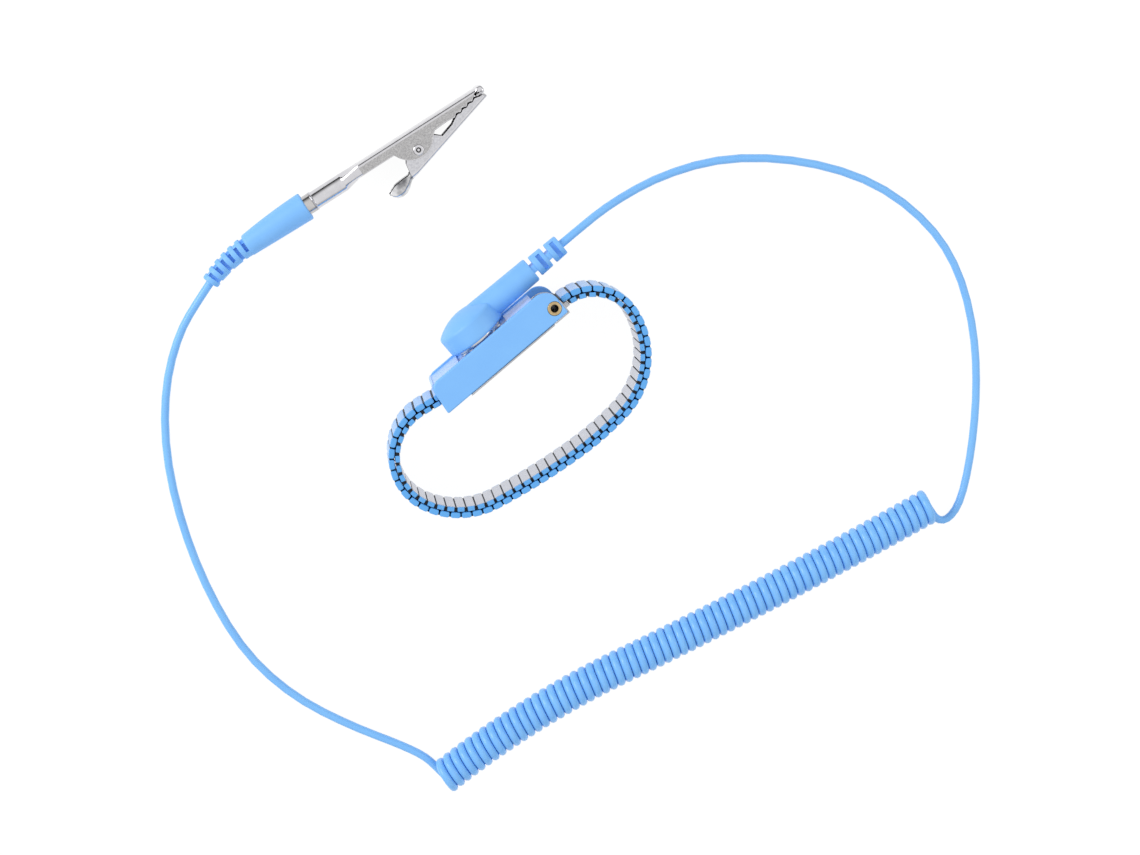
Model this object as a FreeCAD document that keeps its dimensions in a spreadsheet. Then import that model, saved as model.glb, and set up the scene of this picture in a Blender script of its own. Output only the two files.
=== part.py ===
import FreeCAD, Part
import Sketcher
import math
import os
import re

# ESD wrist strap: a metal expansion band in a moulded buckle, a snap connector with its safety
# resistor, a coil cord, and a banana plug that carries an alligator clip.
# It lies as on a bench: band and buckle on their edge, cord and clip flat on the surface z = 0.
# Lengths are in millimetres and angles in degrees. While the pieces are made, x = 0 is the snap's
# axis, y = 0 the foot of the buckle's walls, and +Y points out of the wrist.

Vector = FreeCAD.Vector
Placement = FreeCAD.Placement
Rotation = FreeCAD.Rotation

# Driving dimensions: name, value, what it measures
SIZES = (
    ("housing_width", 16.4, "buckle across the band, its height as it lies on its edge"),
    ("housing_left", 18.2, "snap axis to the foot of the buckle's left end"),
    ("housing_right", 21.45, "snap axis to the buckle's right end"),
    ("housing_height", 8.3, "foot of the walls to their top"),
    ("housing_wall", 1.2, "side wall"),
    ("housing_draft", 7.0, "lean of the left end"),
    ("crown_left", 2.6, "rounding of the left end's top"),
    ("crown_right", 4.3, "rounding of the right end's top"),
    ("recess_depth", 1.1, "top recess under the wall's edge"),
    ("recess_inset", 2.0, "buckle's left end to the recess"),
    ("floor_inset", 5.15, "buckle's right end to the end of the floor"),
    ("floor_thickness", 1.2, "floor that carries the snap"),
    ("sill_length", 7.6, "bridge under the band at the left end"),
    ("sill_thickness", 1.0, "bridge under the band"),
    ("hinge_inset", 2.19, "buckle's right end to the latch hinge"),
    ("hinge_y", 2.95, "latch hinge above the foot of the walls"),
    ("eyelet_radius", 1.2, "tube of the hinge eyelet"),
    ("eyelet_bore", 0.875, "radius of the hole through the eyelet"),
    ("eyelet_flange", 1.85, "radius of the eyelet's rolled rims"),
    ("eyelet_rim", 0.3, "thickness of a rolled rim"),
    ("fixed_gap", 0.03, "clearance round a pressed or riveted piece"),
    ("running_gap", 0.05, "clearance of a piece that turns or slides"),
    ("latch_thickness", 0.4, "latch plate"),
    ("latch_end", 2.6, "hinge to the latch plate's right edge"),
    ("ear_radius", 4.1, "latch ear round the hinge"),
    ("ear_thickness", 0.5, "latch ear"),
    ("ear_reach", 2.44, "hinge to the ear's right edge"),
    ("ear_foot", 4.06, "hinge to the left end of the ear's foot"),
    ("rivet_radius", 1.45, "shank of the stud's rivet"),
    ("rivet_flange", 2.6, "radius of the rivet's lower flange"),
    ("rivet_flange_thickness", 0.4, "lower flange"),
    ("rivet_head", 2.3, "radius of the rivet's head"),
    ("rivet_head_thickness", 0.35, "rivet's head"),
    ("stud_base", 6.0, "radius of the stud's web"),
    ("stud_sheet", 0.4, "thickness of the stud"),
    ("stud_neck", 4.4, "radius of the stud's neck"),
    ("bead_rise", 0.35, "stud's bead beyond its neck"),
    ("stud_height", 3.8, "web's foot to the stud's top"),
    ("bead_drop", 0.7, "stud's top to the middle of its bead"),
    ("bead_half", 0.25, "half of the bead's flat"),
    ("bead_slope", 0.35, "run of the bead's slopes"),
    ("strip_thickness", 0.3, "contact strip"),
    ("strip_width", 8.0, "contact strip"),
    ("strip_reach", 4.0, "snap axis to the end of the strip's flat"),
    ("strip_slope", 4.0, "length of the strip's bend"),
    ("strip_tail", 8.2, "length that rests on the band"),
    ("socket_rim", 1.25, "wall of the snap socket beyond its groove"),
    ("socket_lift", 0.6, "stud's web to the socket's lip"),
    ("socket_depth", 3.8, "height of the socket"),
    ("socket_roof", 0.5, "top of the socket"),
    ("socket_bore_gap", 0.1, "socket's bore beyond the stud's bead"),
    ("groove_height", 1.3, "socket's lip to the middle of the spring's groove"),
    ("groove_half", 0.4, "half width of the groove"),
    ("groove_depth", 0.3, "depth of the spring's groove"),
    ("snap_wire", 0.3, "radius of the ring spring's wire"),
    ("tab_thickness", 0.7, "socket's wire tab along the barrel"),
    ("tab_width", 1.2, "socket's wire tab"),
    ("tab_lap", 0.4, "wire tab's lap on the socket's roof"),
    ("button_base", 0.9, "button's foot above the socket's lip"),
    ("button_height", 7.8, "button's foot to the top of its crown"),
    ("button_crown", 13.8, "radius of the crown's dome"),
    ("button_rim", 1.1, "rounding of the button's upper rim"),
    ("button_foot_round", 0.8, "rounding of the button's foot"),
    ("barrel_height", 4.0, "button's foot to the barrel's axis"),
    ("barrel_front", 3.65, "barrel's radius at the button"),
    ("barrel_rear", 3.35, "barrel's radius at its end"),
    ("barrel_start", 3.0, "snap axis to the barrel's buried start"),
    ("barrel_end", 21.3, "snap axis to the barrel's end"),
    ("barrel_round", 0.5, "rounding of the barrel's end"),
    ("relief_length", 9.7, "barrel's end to the end of the strain relief"),
    ("relief_front", 3.0, "strain relief's radius at the barrel"),
    ("relief_rear", 2.75, "strain relief's radius at its end"),
    ("relief_web", 0.95, "half thickness of the webs between its blocks"),
    ("relief_slot_depth", 1.3, "strain relief's axis to the floor of a slot"),
    ("relief_gap_a", 1.05, "first gap, which starts at the barrel's end"),
    ("relief_slot_a", 2.7, "barrel's end to the first slot"),
    ("relief_gap_b", 4.9, "barrel's end to the second gap"),
    ("relief_slot_b", 7.35, "barrel's end to the second slot"),
    ("relief_gap_width", 1.1, "gap between the blocks"),
    ("relief_slot_width", 1.1, "slot in a block"),
    ("relief_slot_length", 4.4, "slot across the cord"),
    ("resistor_front", 2.3, "wire from the tab to the resistor's body"),
    ("resistor_length", 6.3, "resistor's body"),
    ("resistor_radius", 1.2, "resistor's body"),
    ("resistor_lead", 0.3, "radius of its wires"),
    ("resistor_rear", 0.7, "wire from the resistor's body to the crimp"),
    ("crimp_length", 3.0, "crimp"),
    ("crimp_radius", 0.8, "crimp"),
    ("conductor_radius", 0.6, "stranded conductor in its inner cover"),
    ("cord_diameter", 2.1, "outer diameter of the cord"),
    ("band_clearance", 0.15, "latch's ears to the band's edges"),
    ("link_pitch", 2.7, "one link to the next"),
    ("link_gap", 0.3, "gap between two outer links along the band"),
    ("link_height", 1.6, "outer link from the middle of the band"),
    ("inner_gap", 0.5, "gap between two inner links along the band"),
    ("tab_gap", 0.84, "gap between the end tabs of two inner links"),
    ("inner_height", 1.35, "inner link from the middle of the band"),
    ("row_gap", 0.1, "gap between the two rows"),
    ("link_sheet", 0.2, "wall of a link"),
    ("link_window", 0.5, "edge of the band to the window in a link's sides"),
    ("staple_inset", 1.7, "edge of the band to the middle of a staple's leg"),
    ("staple_wire", 0.35, "thickness of a staple's leg"),
    ("staple_lead", 0.72, "outer link's middle to the middle of its staple's legs"),
    ("prong_height", 0.65, "middle of the band to the middle of a prong"),
    ("prong_gap", 0.125, "prong's tip to the next staple's leg"),
    ("first_link", 1.7, "start of the band to the middle of its first outer link"),
    ("start_heading", 2.6, "direction of the band at its start"),
    ("anchor_reach", 2.17, "hinge to the start of the band"),
    ("anchor_drop", 0.78, "hinge down to the middle of the band at its start"),
    ("anchor_sleeve", 1.75, "radius of the anchor's sleeve"),
    ("anchor_tongue", 0.6, "thickness of the anchor's tongue"),
    ("strip_room", 0.45, "strip's tail to the top of the channel"),
    ("band_inset", 3.3, "buckle's left end to where the band runs straight"),
    ("clip_tilt", -7.8, "clip's axis from the X axis"),
    ("clip_x", -9.76, "start of the clip's barrel"),
    ("clip_y", 60.7, "start of the clip's barrel, 0.7 under its axis"),
    ("plug_rise", 0.7, "axis of the barrel above the clip's base line"),
    ("jaw_width", 8.0, "clip across its jaws"),
    ("jaw_sheet", 0.5, "steel of the clip"),
    ("jaw_back", 2.95, "base line to the upper jaw's back"),
    ("jaw_bend", 1.2, "bend radius of the back's edges"),
    ("clip_length", 51.2, "start of the barrel to the tip"),
    ("clip_barrel", 2.35, "outer radius of the clip's barrel"),
    ("barrel_sheet", 0.37, "clip barrel's wall"),
    ("clip_barrel_length", 9.2, "clip's barrel"),
    ("clip_collar", 0.25, "height of the barrel's rolled collar"),
    ("clip_collar_length", 0.5, "barrel's rolled collar"),
    ("neck_length", 5.1, "folded neck between the barrel and the jaw"),
    ("neck_foot", -0.4, "lower edge of the neck and the jaw's rear"),
    ("tooth_count", 4, "teeth on each side of a jaw"),
    ("tooth_depth", 0.75, "depth of a tooth"),
    ("pivot_x", 29.3, "start of the barrel to the pivot"),
    ("pivot_y", -2.4, "base line to the pivot"),
    ("pivot_radius", 0.8, "rivet's shank"),
    ("pivot_head", 1.35, "rivet's head"),
    ("pivot_head_height", 0.25, "rivet's head beside the jaw"),
    ("pivot_dimple", 0.55, "dimple in the rivet's head"),
    ("belly_radius", 6.0, "round belly of the upper jaw"),
    ("jaw_gap", 0.1, "upper jaw's plates to the lower jaw's"),
    ("spring_wire", 0.25, "radius of the clip spring's wire"),
    ("spring_radius", 1.5, "mean radius of the clip spring"),
    ("spring_turns", 5, "turns of the clip spring"),
    ("spring_pitch", 0.85, "one turn of the clip spring to the next"),
    ("spring_leg", 4.2, "straight legs of the clip spring"),
    ("sleeve_front", 3.7, "plug sleeve's radius at the clip"),
    ("sleeve_middle", 3.42, "plug sleeve's radius at its middle"),
    ("sleeve_rear", 2.85, "plug sleeve's radius at the strain relief"),
    ("sleeve_length", 17.8, "plug sleeve without its strain relief"),
    ("sleeve_round", 0.35, "rounding of the sleeve's front"),
    ("tail_length", 13.2, "sleeve's strain relief along its middle"),
    ("tail_turn", 21.6, "bend of the strain relief"),
    ("tail_tip", 2.2, "radius of the strain relief's tip"),
    ("tail_slots", 6, "slots in the strain relief"),
    ("tail_slot_width", 0.95, "slot along the cord"),
    ("tail_slot_length", 3.4, "slot across the cord"),
    ("tail_slot_shift", 0.5, "how far the slots alternate"),
    ("tail_slot_floor", 1.25, "strain relief's middle to the floor of a slot"),
    ("collar_radius", 2.5, "banana plug's collar"),
    ("collar_length", 1.95, "banana plug's collar"),
    ("cup_radius", 2.25, "plug's shank inside the sleeve"),
    ("cup_length", 14.0, "plug's shank inside the sleeve"),
    ("cup_depth", 6.0, "solder cup's hole"),
    ("pin_radius", 1.1, "plug's pin"),
    ("pin_length", 17.0, "plug's pin"),
    ("pin_point", 0.5, "chamfer of the pin's end"),
    ("cage_start", 1.0, "collar to the spring cage"),
    ("cage_length", 14.0, "spring cage"),
    ("cage_band", 1.5, "ring at each end of the cage"),
    ("cage_sheet", 0.25, "spring cage's leaves"),
    ("cage_slot", 0.6, "slot between two leaves"),
    ("cage_groove", 0.02, "cage's ring clear of the pin"),
    ("coil_turns", 64, "turns of the coil"),
    ("coil_radius", 3.65, "coil's axis to the middle of its wire"),
    ("coil_clearance", 0.45, "gap between two turns"),
)

doc = FreeCAD.newDocument("esd_wrist_strap")
sheet = doc.addObject("Spreadsheet::Sheet", "sizes")
for row, (alias, value, meaning) in enumerate(SIZES, start=1):
    sheet.set(f"A{row}", str(value))
    sheet.setAlias(f"A{row}", alias)
    sheet.set(f"B{row}", meaning)
doc.recompute()
ALIASES = {alias for alias, value, meaning in SIZES}

# Places that several pieces share, written in the sheet's names
MIDDLE = "(housing_width / 2)"
CHANNEL = "(housing_height - recess_depth - floor_thickness)"
FLOOR_TOP = "(housing_height - recess_depth)"
SOCKET_LIP = f"({FLOOR_TOP} + stud_sheet + socket_lift)"
SOCKET_TOP = f"({SOCKET_LIP} + socket_depth)"
STUD_BEAD = "(stud_neck + bead_rise)"
SOCKET_BORE = f"({STUD_BEAD} + socket_bore_gap)"
GROOVE_RADIUS = f"({SOCKET_BORE} + groove_depth)"
SOCKET_RADIUS = f"({GROOVE_RADIUS} + socket_rim)"
SNAP_HOLE = "(rivet_radius + running_gap)"
BUTTON_FOOT = f"({SOCKET_LIP} + button_base)"
BARREL_AXIS = f"({BUTTON_FOOT} + barrel_height)"
TAB_START = f"({SOCKET_RADIUS} - tab_lap)"
TAB_END = f"({TAB_START} + tab_thickness)"
RESISTOR_START = f"({TAB_END} + resistor_front)"
RESISTOR_END = f"({RESISTOR_START} + resistor_length)"
CRIMP_START = f"({RESISTOR_END} + resistor_rear)"
CRIMP_END = f"({CRIMP_START} + crimp_length)"
RELIEF_END = "(barrel_end + relief_length)"
HINGE_X = "(housing_right - hinge_inset)"
FLOOR_RIGHT = "(housing_right - floor_inset)"
CHANNEL_LEFT = "(-housing_left + sill_length)"
STRIP_TOP = f"({CHANNEL} - strip_room)"
BAND_RISE = f"({STRIP_TOP} - strip_thickness - running_gap - link_height)"
BAND_HALF = f"({MIDDLE} - housing_wall - running_gap - ear_thickness - band_clearance)"
STAPLE_PLACE = f"({BAND_HALF} - staple_inset)"
CLIP_MIDDLE = "(jaw_width / 2 + pivot_head_height)"
BARREL_BORE = "(clip_barrel - barrel_sheet)"


def size(expression):
    """Value of an expression in the sheet's names."""
    return float(sheet.evalExpression(expression))


def in_sheet(expression):
    """The expression as another object writes it, with the sheet's name before each size."""
    def named(word):
        text = word.group()
        return "sizes." + text if text in ALIASES else text
    return re.sub(r"[a-z][a-z_]*", named, expression)


def bind(thing, bindings):
    """Bind properties of an object to the sheet."""
    for name, expression in bindings.items():
        thing.setExpression(name, in_sheet(expression))
    return thing


TURNED = {
    "x": Rotation(Vector(0, 0, 1), Vector(1, 0, 0)),
    "y": Rotation(Vector(0, 0, 1), Vector(0, 1, 0)),
    "z": Rotation(),
}


def put(thing, foot, axis="z"):
    """Turn an object to its axis and bind its foot to the sheet."""
    thing.Placement = Placement(Vector(), TURNED[axis])
    x, y, z = foot
    return bind(thing, {"Placement.Base.x": x, "Placement.Base.y": y, "Placement.Base.z": z})


def cylinder(name, radius, length, foot, axis="z"):
    piece = bind(doc.addObject("Part::Cylinder", name), {"Radius": radius, "Height": length})
    return put(piece, foot, axis)


def cone(name, radius, end_radius, length, foot, axis="z"):
    piece = doc.addObject("Part::Cone", name)
    bind(piece, {"Radius1": radius, "Radius2": end_radius, "Height": length})
    return put(piece, foot, axis)


def block(name, across, along, up):
    """Box between pairs of places along X, Y and Z."""
    piece = doc.addObject("Part::Box", name)
    spans = [f"({high}) - ({low})" for low, high in (across, along, up)]
    bind(piece, dict(zip(("Length", "Width", "Height"), spans)))
    return put(piece, (across[0], along[0], up[0]))


def fuse(name, *pieces):
    joined = doc.addObject("Part::MultiFuse", name)
    joined.Shapes = list(pieces)
    joined.Refine = True
    return joined


def cut(name, base, *tools):
    left = doc.addObject("Part::Cut", name)
    left.Base = base
    left.Tool = tools[0] if len(tools) == 1 else fuse(name + "_tools", *tools)
    left.Refine = True
    return left


def profile(body, name, corners, lift="0"):
    """Closed sketch of straight lines on the body's XY plane; corners are pairs of expressions."""
    sketch = body.newObject("Sketcher::SketchObject", name)
    plane = [part for part in body.Origin.OriginFeatures if part.Role == "XY_Plane"][0]
    sketch.AttachmentSupport = (plane, [""])
    sketch.MapMode = "FlatFace"
    bind(sketch, {"AttachmentOffset.Base.z": lift})
    places = [Vector(size(x), size(y), 0) for x, y in corners]
    for start, end in zip(places, places[1:] + places[:1]):
        sketch.addGeometry(Part.LineSegment(start, end), False)
    for line in range(len(corners)):
        sketch.addConstraint(Sketcher.Constraint("Coincident", line, 2, (line + 1) % len(corners), 1))
    for line, (x, y) in enumerate(corners):
        for kind, expression, axis in (("DistanceX", x, -2), ("DistanceY", y, -1)):
            if expression == "0":
                sketch.addConstraint(Sketcher.Constraint("PointOnObject", line, 1, axis))
                continue
            number = sketch.addConstraint(
                Sketcher.Constraint(kind, -1, 1, line, 1, size(expression)))
            bind(sketch, {f"Constraints[{number}]": expression})
    return sketch


def rectangle(left, right, low, high):
    return ((left, low), (right, low), (right, high), (left, high))


def padded_body(name, corners, length):
    body = doc.addObject("PartDesign::Body", name)
    pad = body.newObject("PartDesign::Pad", name + "_pad")
    pad.Profile = profile(body, name + "_outline", corners)
    bind(pad, {"Length": length})
    doc.recompute()
    return body


def pocket(body, name, corners, lift, length):
    """Cut a profile out of the body, from the height lift upwards."""
    sketch = profile(body, name + "_outline", corners, lift)
    before = body.Shape.Volume
    feature = body.newObject("PartDesign::Pocket", name)
    feature.Profile = sketch
    feature.Reversed = True
    bind(feature, {"Length": length})
    doc.recompute()
    if body.Shape.Volume > before - 1e-6:
        raise RuntimeError(f"{name} cuts nothing")
    return feature


def round_edges(body, name, points, radius):
    """Fillet the body's edges whose middles lie nearest to the points."""
    edges = body.Shape.Edges
    names = []
    for point in points:
        nearest = min(range(len(edges)), key=lambda i: (middle(edges[i]) - point).Length)
        names.append(f"Edge{nearest + 1}")
    base = body.Tip
    fillet = body.newObject("PartDesign::Fillet", name)
    fillet.Base = (base, names)
    bind(fillet, {"Radius": radius})
    doc.recompute()
    return fillet


def middle(edge):
    return edge.valueAt((edge.FirstParameter + edge.LastParameter) / 2)


def turned_body(name, corners, axis):
    """Revolve a profile about the sketch's V_Axis or H_Axis."""
    body = doc.addObject("PartDesign::Body", name)
    sketch = profile(body, name + "_profile", corners)
    turn = body.newObject("PartDesign::Revolution", name + "_turn")
    turn.Profile = sketch
    turn.ReferenceAxis = (sketch, [axis])
    turn.Angle = 360
    doc.recompute()
    return body


def solid_feature(name, shape):
    piece = doc.addObject("Part::Feature", name)
    piece.Shape = shape
    return piece


# Nodes: label, object, and the frame in which the object is made
nodes = {}
STUD_FRAME = Placement()
SNAP_FRAME = Placement(Vector(0, 0, size(MIDDLE)), Rotation())
CLIP_FRAME = Placement(
    Vector(size("clip_x"), size("clip_y"), 0), Rotation(Vector(0, 0, 1), size("clip_tilt")))
PLUG_FRAME = CLIP_FRAME.multiply(Placement(Vector(0, size("plug_rise"), size(CLIP_MIDDLE)), Rotation()))
CORD_SIDE = []


def node(label, piece, frame=STUD_FRAME, on_cord=False):
    piece.Label = label
    nodes[label] = (piece, frame)
    if on_cord:
        CORD_SIDE.append(label)


# Buckle housing
END_LEAN = "(housing_height * tan(housing_draft))"
housing_body = padded_body("housing_shell", (
    ("-housing_left", "0"),
    ("housing_right", "0"),
    ("housing_right", "housing_height"),
    (f"-housing_left + {END_LEAN}", "housing_height"),
), "housing_width")
round_edges(housing_body, "left_crown", [
    Vector(-size("housing_left") + size(END_LEAN), size("housing_height"), size(MIDDLE))], "crown_left")
round_edges(housing_body, "right_crown", [
    Vector(size("housing_right"), size("housing_height"), size(MIDDLE))], "crown_right")
pocket(housing_body, "top_recess", rectangle(
    "-housing_left + recess_inset", FLOOR_RIGHT, FLOOR_TOP, "housing_height + 1"),
    "housing_wall", "housing_width - 2 * housing_wall")
pocket(housing_body, "band_channel", (
    ("-housing_left - 1", "sill_thickness"),
    (CHANNEL_LEFT, "sill_thickness"),
    (CHANNEL_LEFT, "-1"),
    ("housing_right + 1", "-1"),
    ("housing_right + 1", "housing_height + 1"),
    (FLOOR_RIGHT, "housing_height + 1"),
    (FLOOR_RIGHT, CHANNEL),
    ("-housing_left - 1", CHANNEL),
), "housing_wall", "housing_width - 2 * housing_wall")
node("housing", cut(
    "housing_cut", housing_body,
    cylinder("rivet_hole", SNAP_HOLE, f"{FLOOR_TOP} - {CHANNEL}", ("0", CHANNEL, MIDDLE), "y"),
    cylinder("eyelet_hole", "eyelet_radius + fixed_gap", "housing_width", (HINGE_X, "hinge_y", "0")),
    cylinder("rim_seat_low", "eyelet_flange + fixed_gap", "eyelet_rim", (HINGE_X, "hinge_y", "0")),
    cylinder("rim_seat_high", "eyelet_flange + fixed_gap", "eyelet_rim",
             (HINGE_X, "hinge_y", "housing_width - eyelet_rim")),
))

# Hinge eyelet, rolled over both walls
node("hinge_eyelet", cut(
    "hinge_eyelet_cut",
    fuse("hinge_eyelet_solid",
         cylinder("eyelet_tube", "eyelet_radius", "housing_width", (HINGE_X, "hinge_y", "0")),
         cylinder("eyelet_rim_low", "eyelet_flange", "eyelet_rim", (HINGE_X, "hinge_y", "0")),
         cylinder("eyelet_rim_high", "eyelet_flange", "eyelet_rim",
                  (HINGE_X, "hinge_y", "housing_width - eyelet_rim"))),
    cylinder("eyelet_bore", "eyelet_bore", "housing_width", (HINGE_X, "hinge_y", "0")),
))

# Latch plate: a plate under the buckle, two ears on the hinge and a lip that clamps the band's end
EAR_LOW = ("housing_wall + running_gap", "housing_wall + running_gap + ear_thickness")
EAR_HIGH = ("housing_width - housing_wall - running_gap - ear_thickness",
            "housing_width - housing_wall - running_gap")
LIP_LEFT = f"{CHANNEL_LEFT} + running_gap"
LIP_TOP = f"{BAND_RISE} - inner_height - running_gap"


def latch_ear(name, span):
    """Disc round the hinge, cut level with the plate's underside and at the buckle's end."""
    disc = cylinder(name + "_disc", "ear_radius", f"({span[1]}) - ({span[0]})",
                    (HINGE_X, "hinge_y", span[0]))
    keep = block(name + "_keep", (f"{HINGE_X} - ear_radius - 1", f"{HINGE_X} + ear_reach"),
                 ("-latch_thickness", "hinge_y + ear_radius + 1"), span)
    ear = doc.addObject("Part::MultiCommon", name)
    ear.Shapes = [disc, keep]
    foot = block(name + "_foot", (f"{HINGE_X} - ear_foot", f"{HINGE_X} - latch_end"),
                 ("-latch_thickness", "hinge_y"), span)
    return fuse(name + "_whole", ear, foot)


node("latch_plate", cut(
    "latch_plate_cut",
    fuse("latch_plate_solid",
         block("latch_floor", (CHANNEL_LEFT, f"{HINGE_X} - latch_end"), ("-latch_thickness", "0"),
               ("0", "housing_width")),
         block("latch_lip", (LIP_LEFT, f"{LIP_LEFT} + latch_thickness"), ("-latch_thickness", LIP_TOP),
               (EAR_LOW[0], EAR_HIGH[1])),
         latch_ear("ear_low", EAR_LOW),
         latch_ear("ear_high", EAR_HIGH)),
    cylinder("latch_bore", "eyelet_radius + running_gap", "housing_width", (HINGE_X, "hinge_y", "0")),
))

# Snap stud, its rivet and the contact strip under the floor
node("snap_stud", turned_body("snap_stud_body", (
    (SNAP_HOLE, FLOOR_TOP),
    ("stud_base", FLOOR_TOP),
    ("stud_base", f"{FLOOR_TOP} + stud_sheet"),
    ("stud_neck", f"{FLOOR_TOP} + stud_sheet"),
    ("stud_neck", f"{FLOOR_TOP} + stud_height - bead_drop - bead_half - bead_slope"),
    (STUD_BEAD, f"{FLOOR_TOP} + stud_height - bead_drop - bead_half"),
    (STUD_BEAD, f"{FLOOR_TOP} + stud_height - bead_drop + bead_half"),
    ("stud_neck", f"{FLOOR_TOP} + stud_height"),
    ("stud_neck - stud_sheet", f"{FLOOR_TOP} + stud_height"),
    ("stud_neck - stud_sheet", f"{FLOOR_TOP} + stud_sheet"),
    (SNAP_HOLE, f"{FLOOR_TOP} + stud_sheet"),
), "V_Axis"), SNAP_FRAME)
RIVET_FOOT = f"({CHANNEL} - strip_thickness - rivet_flange_thickness)"
RIVET_SEAT = f"({FLOOR_TOP} + stud_sheet)"
node("stud_rivet", turned_body("stud_rivet_body", (
    ("0", RIVET_FOOT),
    ("rivet_flange", RIVET_FOOT),
    ("rivet_flange", f"{RIVET_FOOT} + rivet_flange_thickness"),
    ("rivet_radius", f"{RIVET_FOOT} + rivet_flange_thickness"),
    ("rivet_radius", RIVET_SEAT),
    ("rivet_head", RIVET_SEAT),
    ("rivet_head", f"{RIVET_SEAT} + rivet_head_thickness"),
    ("0", f"{RIVET_SEAT} + rivet_head_thickness"),
), "V_Axis"), SNAP_FRAME)
STRIP_BEND = "(-strip_reach - strip_slope)"
node("contact_strip", cut(
    "contact_strip_cut",
    padded_body("contact_strip_body", (
        ("strip_reach", CHANNEL),
        ("-strip_reach", CHANNEL),
        (STRIP_BEND, STRIP_TOP),
        (f"{STRIP_BEND} - strip_tail", STRIP_TOP),
        (f"{STRIP_BEND} - strip_tail", f"{STRIP_TOP} - strip_thickness"),
        (STRIP_BEND, f"{STRIP_TOP} - strip_thickness"),
        ("-strip_reach", f"{CHANNEL} - strip_thickness"),
        ("strip_reach", f"{CHANNEL} - strip_thickness"),
    ), "strip_width"),
    cylinder("strip_hole", SNAP_HOLE, "strip_thickness",
             ("0", f"{CHANNEL} - strip_thickness", "strip_width / 2"), "y"),
), Placement(Vector(0, 0, size(f"{MIDDLE} - strip_width / 2")), Rotation()))

# Snap socket with its groove and wire tab, and the ring spring in the groove
GROOVE = f"({SOCKET_LIP} + groove_height)"
socket_cup = turned_body("snap_socket_body", (
    ("0", SOCKET_TOP),
    ("0", f"{SOCKET_TOP} - socket_roof"),
    (SOCKET_BORE, f"{SOCKET_TOP} - socket_roof"),
    (SOCKET_BORE, f"{GROOVE} + groove_half"),
    (GROOVE_RADIUS, f"{GROOVE} + groove_half"),
    (GROOVE_RADIUS, f"{GROOVE} - groove_half"),
    (SOCKET_BORE, f"{GROOVE} - groove_half"),
    (SOCKET_BORE, SOCKET_LIP),
    (SOCKET_RADIUS, SOCKET_LIP),
    (SOCKET_RADIUS, SOCKET_TOP),
), "V_Axis")


def socket_tab(name, spare, foot):
    """Wire tab from the socket's roof to the resistor, as a piece or, with spare, as its pocket."""
    return block(name, (f"{TAB_START} - {spare}", TAB_END),
                 (foot, f"{BARREL_AXIS} + tab_width / 2 + {spare}"),
                 (f"-tab_width / 2 - {spare}", f"tab_width / 2 + {spare}"))


node("snap_socket", fuse(
    "snap_socket_whole", socket_cup, socket_tab("socket_tab", "0", f"{SOCKET_TOP} - socket_roof")),
    SNAP_FRAME)
node("snap_spring", solid_feature("snap_ring", Part.makeTorus(
    size("stud_neck + snap_wire + running_gap"), size("snap_wire"),
    Vector(0, size(GROOVE), 0), Vector(0, 1, 0))), SNAP_FRAME)

# Connector moulding: button, barrel and slotted strain relief over the socket, resistor and wire
button = doc.addObject("Part::MultiCommon", "button_domed")
dome = bind(doc.addObject("Part::Sphere", "button_dome"), {"Radius": "button_crown"})
put(dome, ("0", f"{BUTTON_FOOT} + button_height - button_crown", "0"))
button.Shapes = [
    cylinder("button_drum", MIDDLE, "button_height", ("0", BUTTON_FOOT, "0"), "y"),
    dome,
]
doc.recompute()
button_round = doc.addObject("Part::Fillet", "button_round")
button_round.Base = button
rims = []
for number, edge in enumerate(button.Shape.Edges, start=1):
    if edge.Closed and abs(edge.BoundBox.YLength) < 0.01:
        low = edge.BoundBox.YMin < size(BUTTON_FOOT) + 0.01
        radius = size("button_foot_round") if low else size("button_rim")
        rims.append((number, radius, radius))
button_round.Edges = rims
barrel = cone("barrel_cone", "barrel_front", "barrel_rear", "barrel_end - barrel_start",
              ("barrel_start", BARREL_AXIS, "0"), "x")
doc.recompute()
barrel_round = doc.addObject("Part::Fillet", "barrel_end_round")
barrel_round.Base = barrel
barrel_round.Edges = [
    (number, size("barrel_round"), size("barrel_round"))
    for number, edge in enumerate(barrel.Shape.Edges, start=1)
    if edge.Closed and edge.BoundBox.XMin > size("barrel_end") - 0.01
]
relief = cone("relief_cone", "relief_front", "relief_rear", "relief_length + 1",
              ("barrel_end - 1", BARREL_AXIS, "0"), "x")


def relief_gap(name, start, end):
    """Gap between two blocks, which leaves a web across the cord."""
    sides = []
    for side, (low, high) in {
        "top": (f"{BARREL_AXIS} + relief_web", f"{BARREL_AXIS} + relief_front + 1"),
        "foot": (f"{BARREL_AXIS} - relief_front - 1", f"{BARREL_AXIS} - relief_web"),
    }.items():
        sides.append(block(f"{name}_{side}", (start, end), (low, high), ("-relief_front", "relief_front")))
    return sides


def relief_slot(name, start):
    """Slot sunk into a block from both flat sides."""
    along = (f"{BARREL_AXIS} - relief_slot_length / 2", f"{BARREL_AXIS} + relief_slot_length / 2")
    across = (start, f"{start} + relief_slot_width")
    return [
        block(name + "_near", across, along, ("relief_slot_depth", "relief_front")),
        block(name + "_far", across, along, ("-relief_front", "-relief_slot_depth")),
    ]


relief_cut = cut(
    "relief_cut", relief,
    *relief_gap("gap_a", "barrel_end", "barrel_end + relief_gap_a"),
    *relief_gap("gap_b", "barrel_end + relief_gap_b", "barrel_end + relief_gap_b + relief_gap_width"),
    *relief_slot("slot_a", "barrel_end + relief_slot_a"),
    *relief_slot("slot_b", "barrel_end + relief_slot_b"))


def rod(name, radius, start, end):
    """Round bar on the barrel's axis."""
    return cylinder(name, radius, f"({end}) - ({start})", (start, BARREL_AXIS, "0"), "x")


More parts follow.
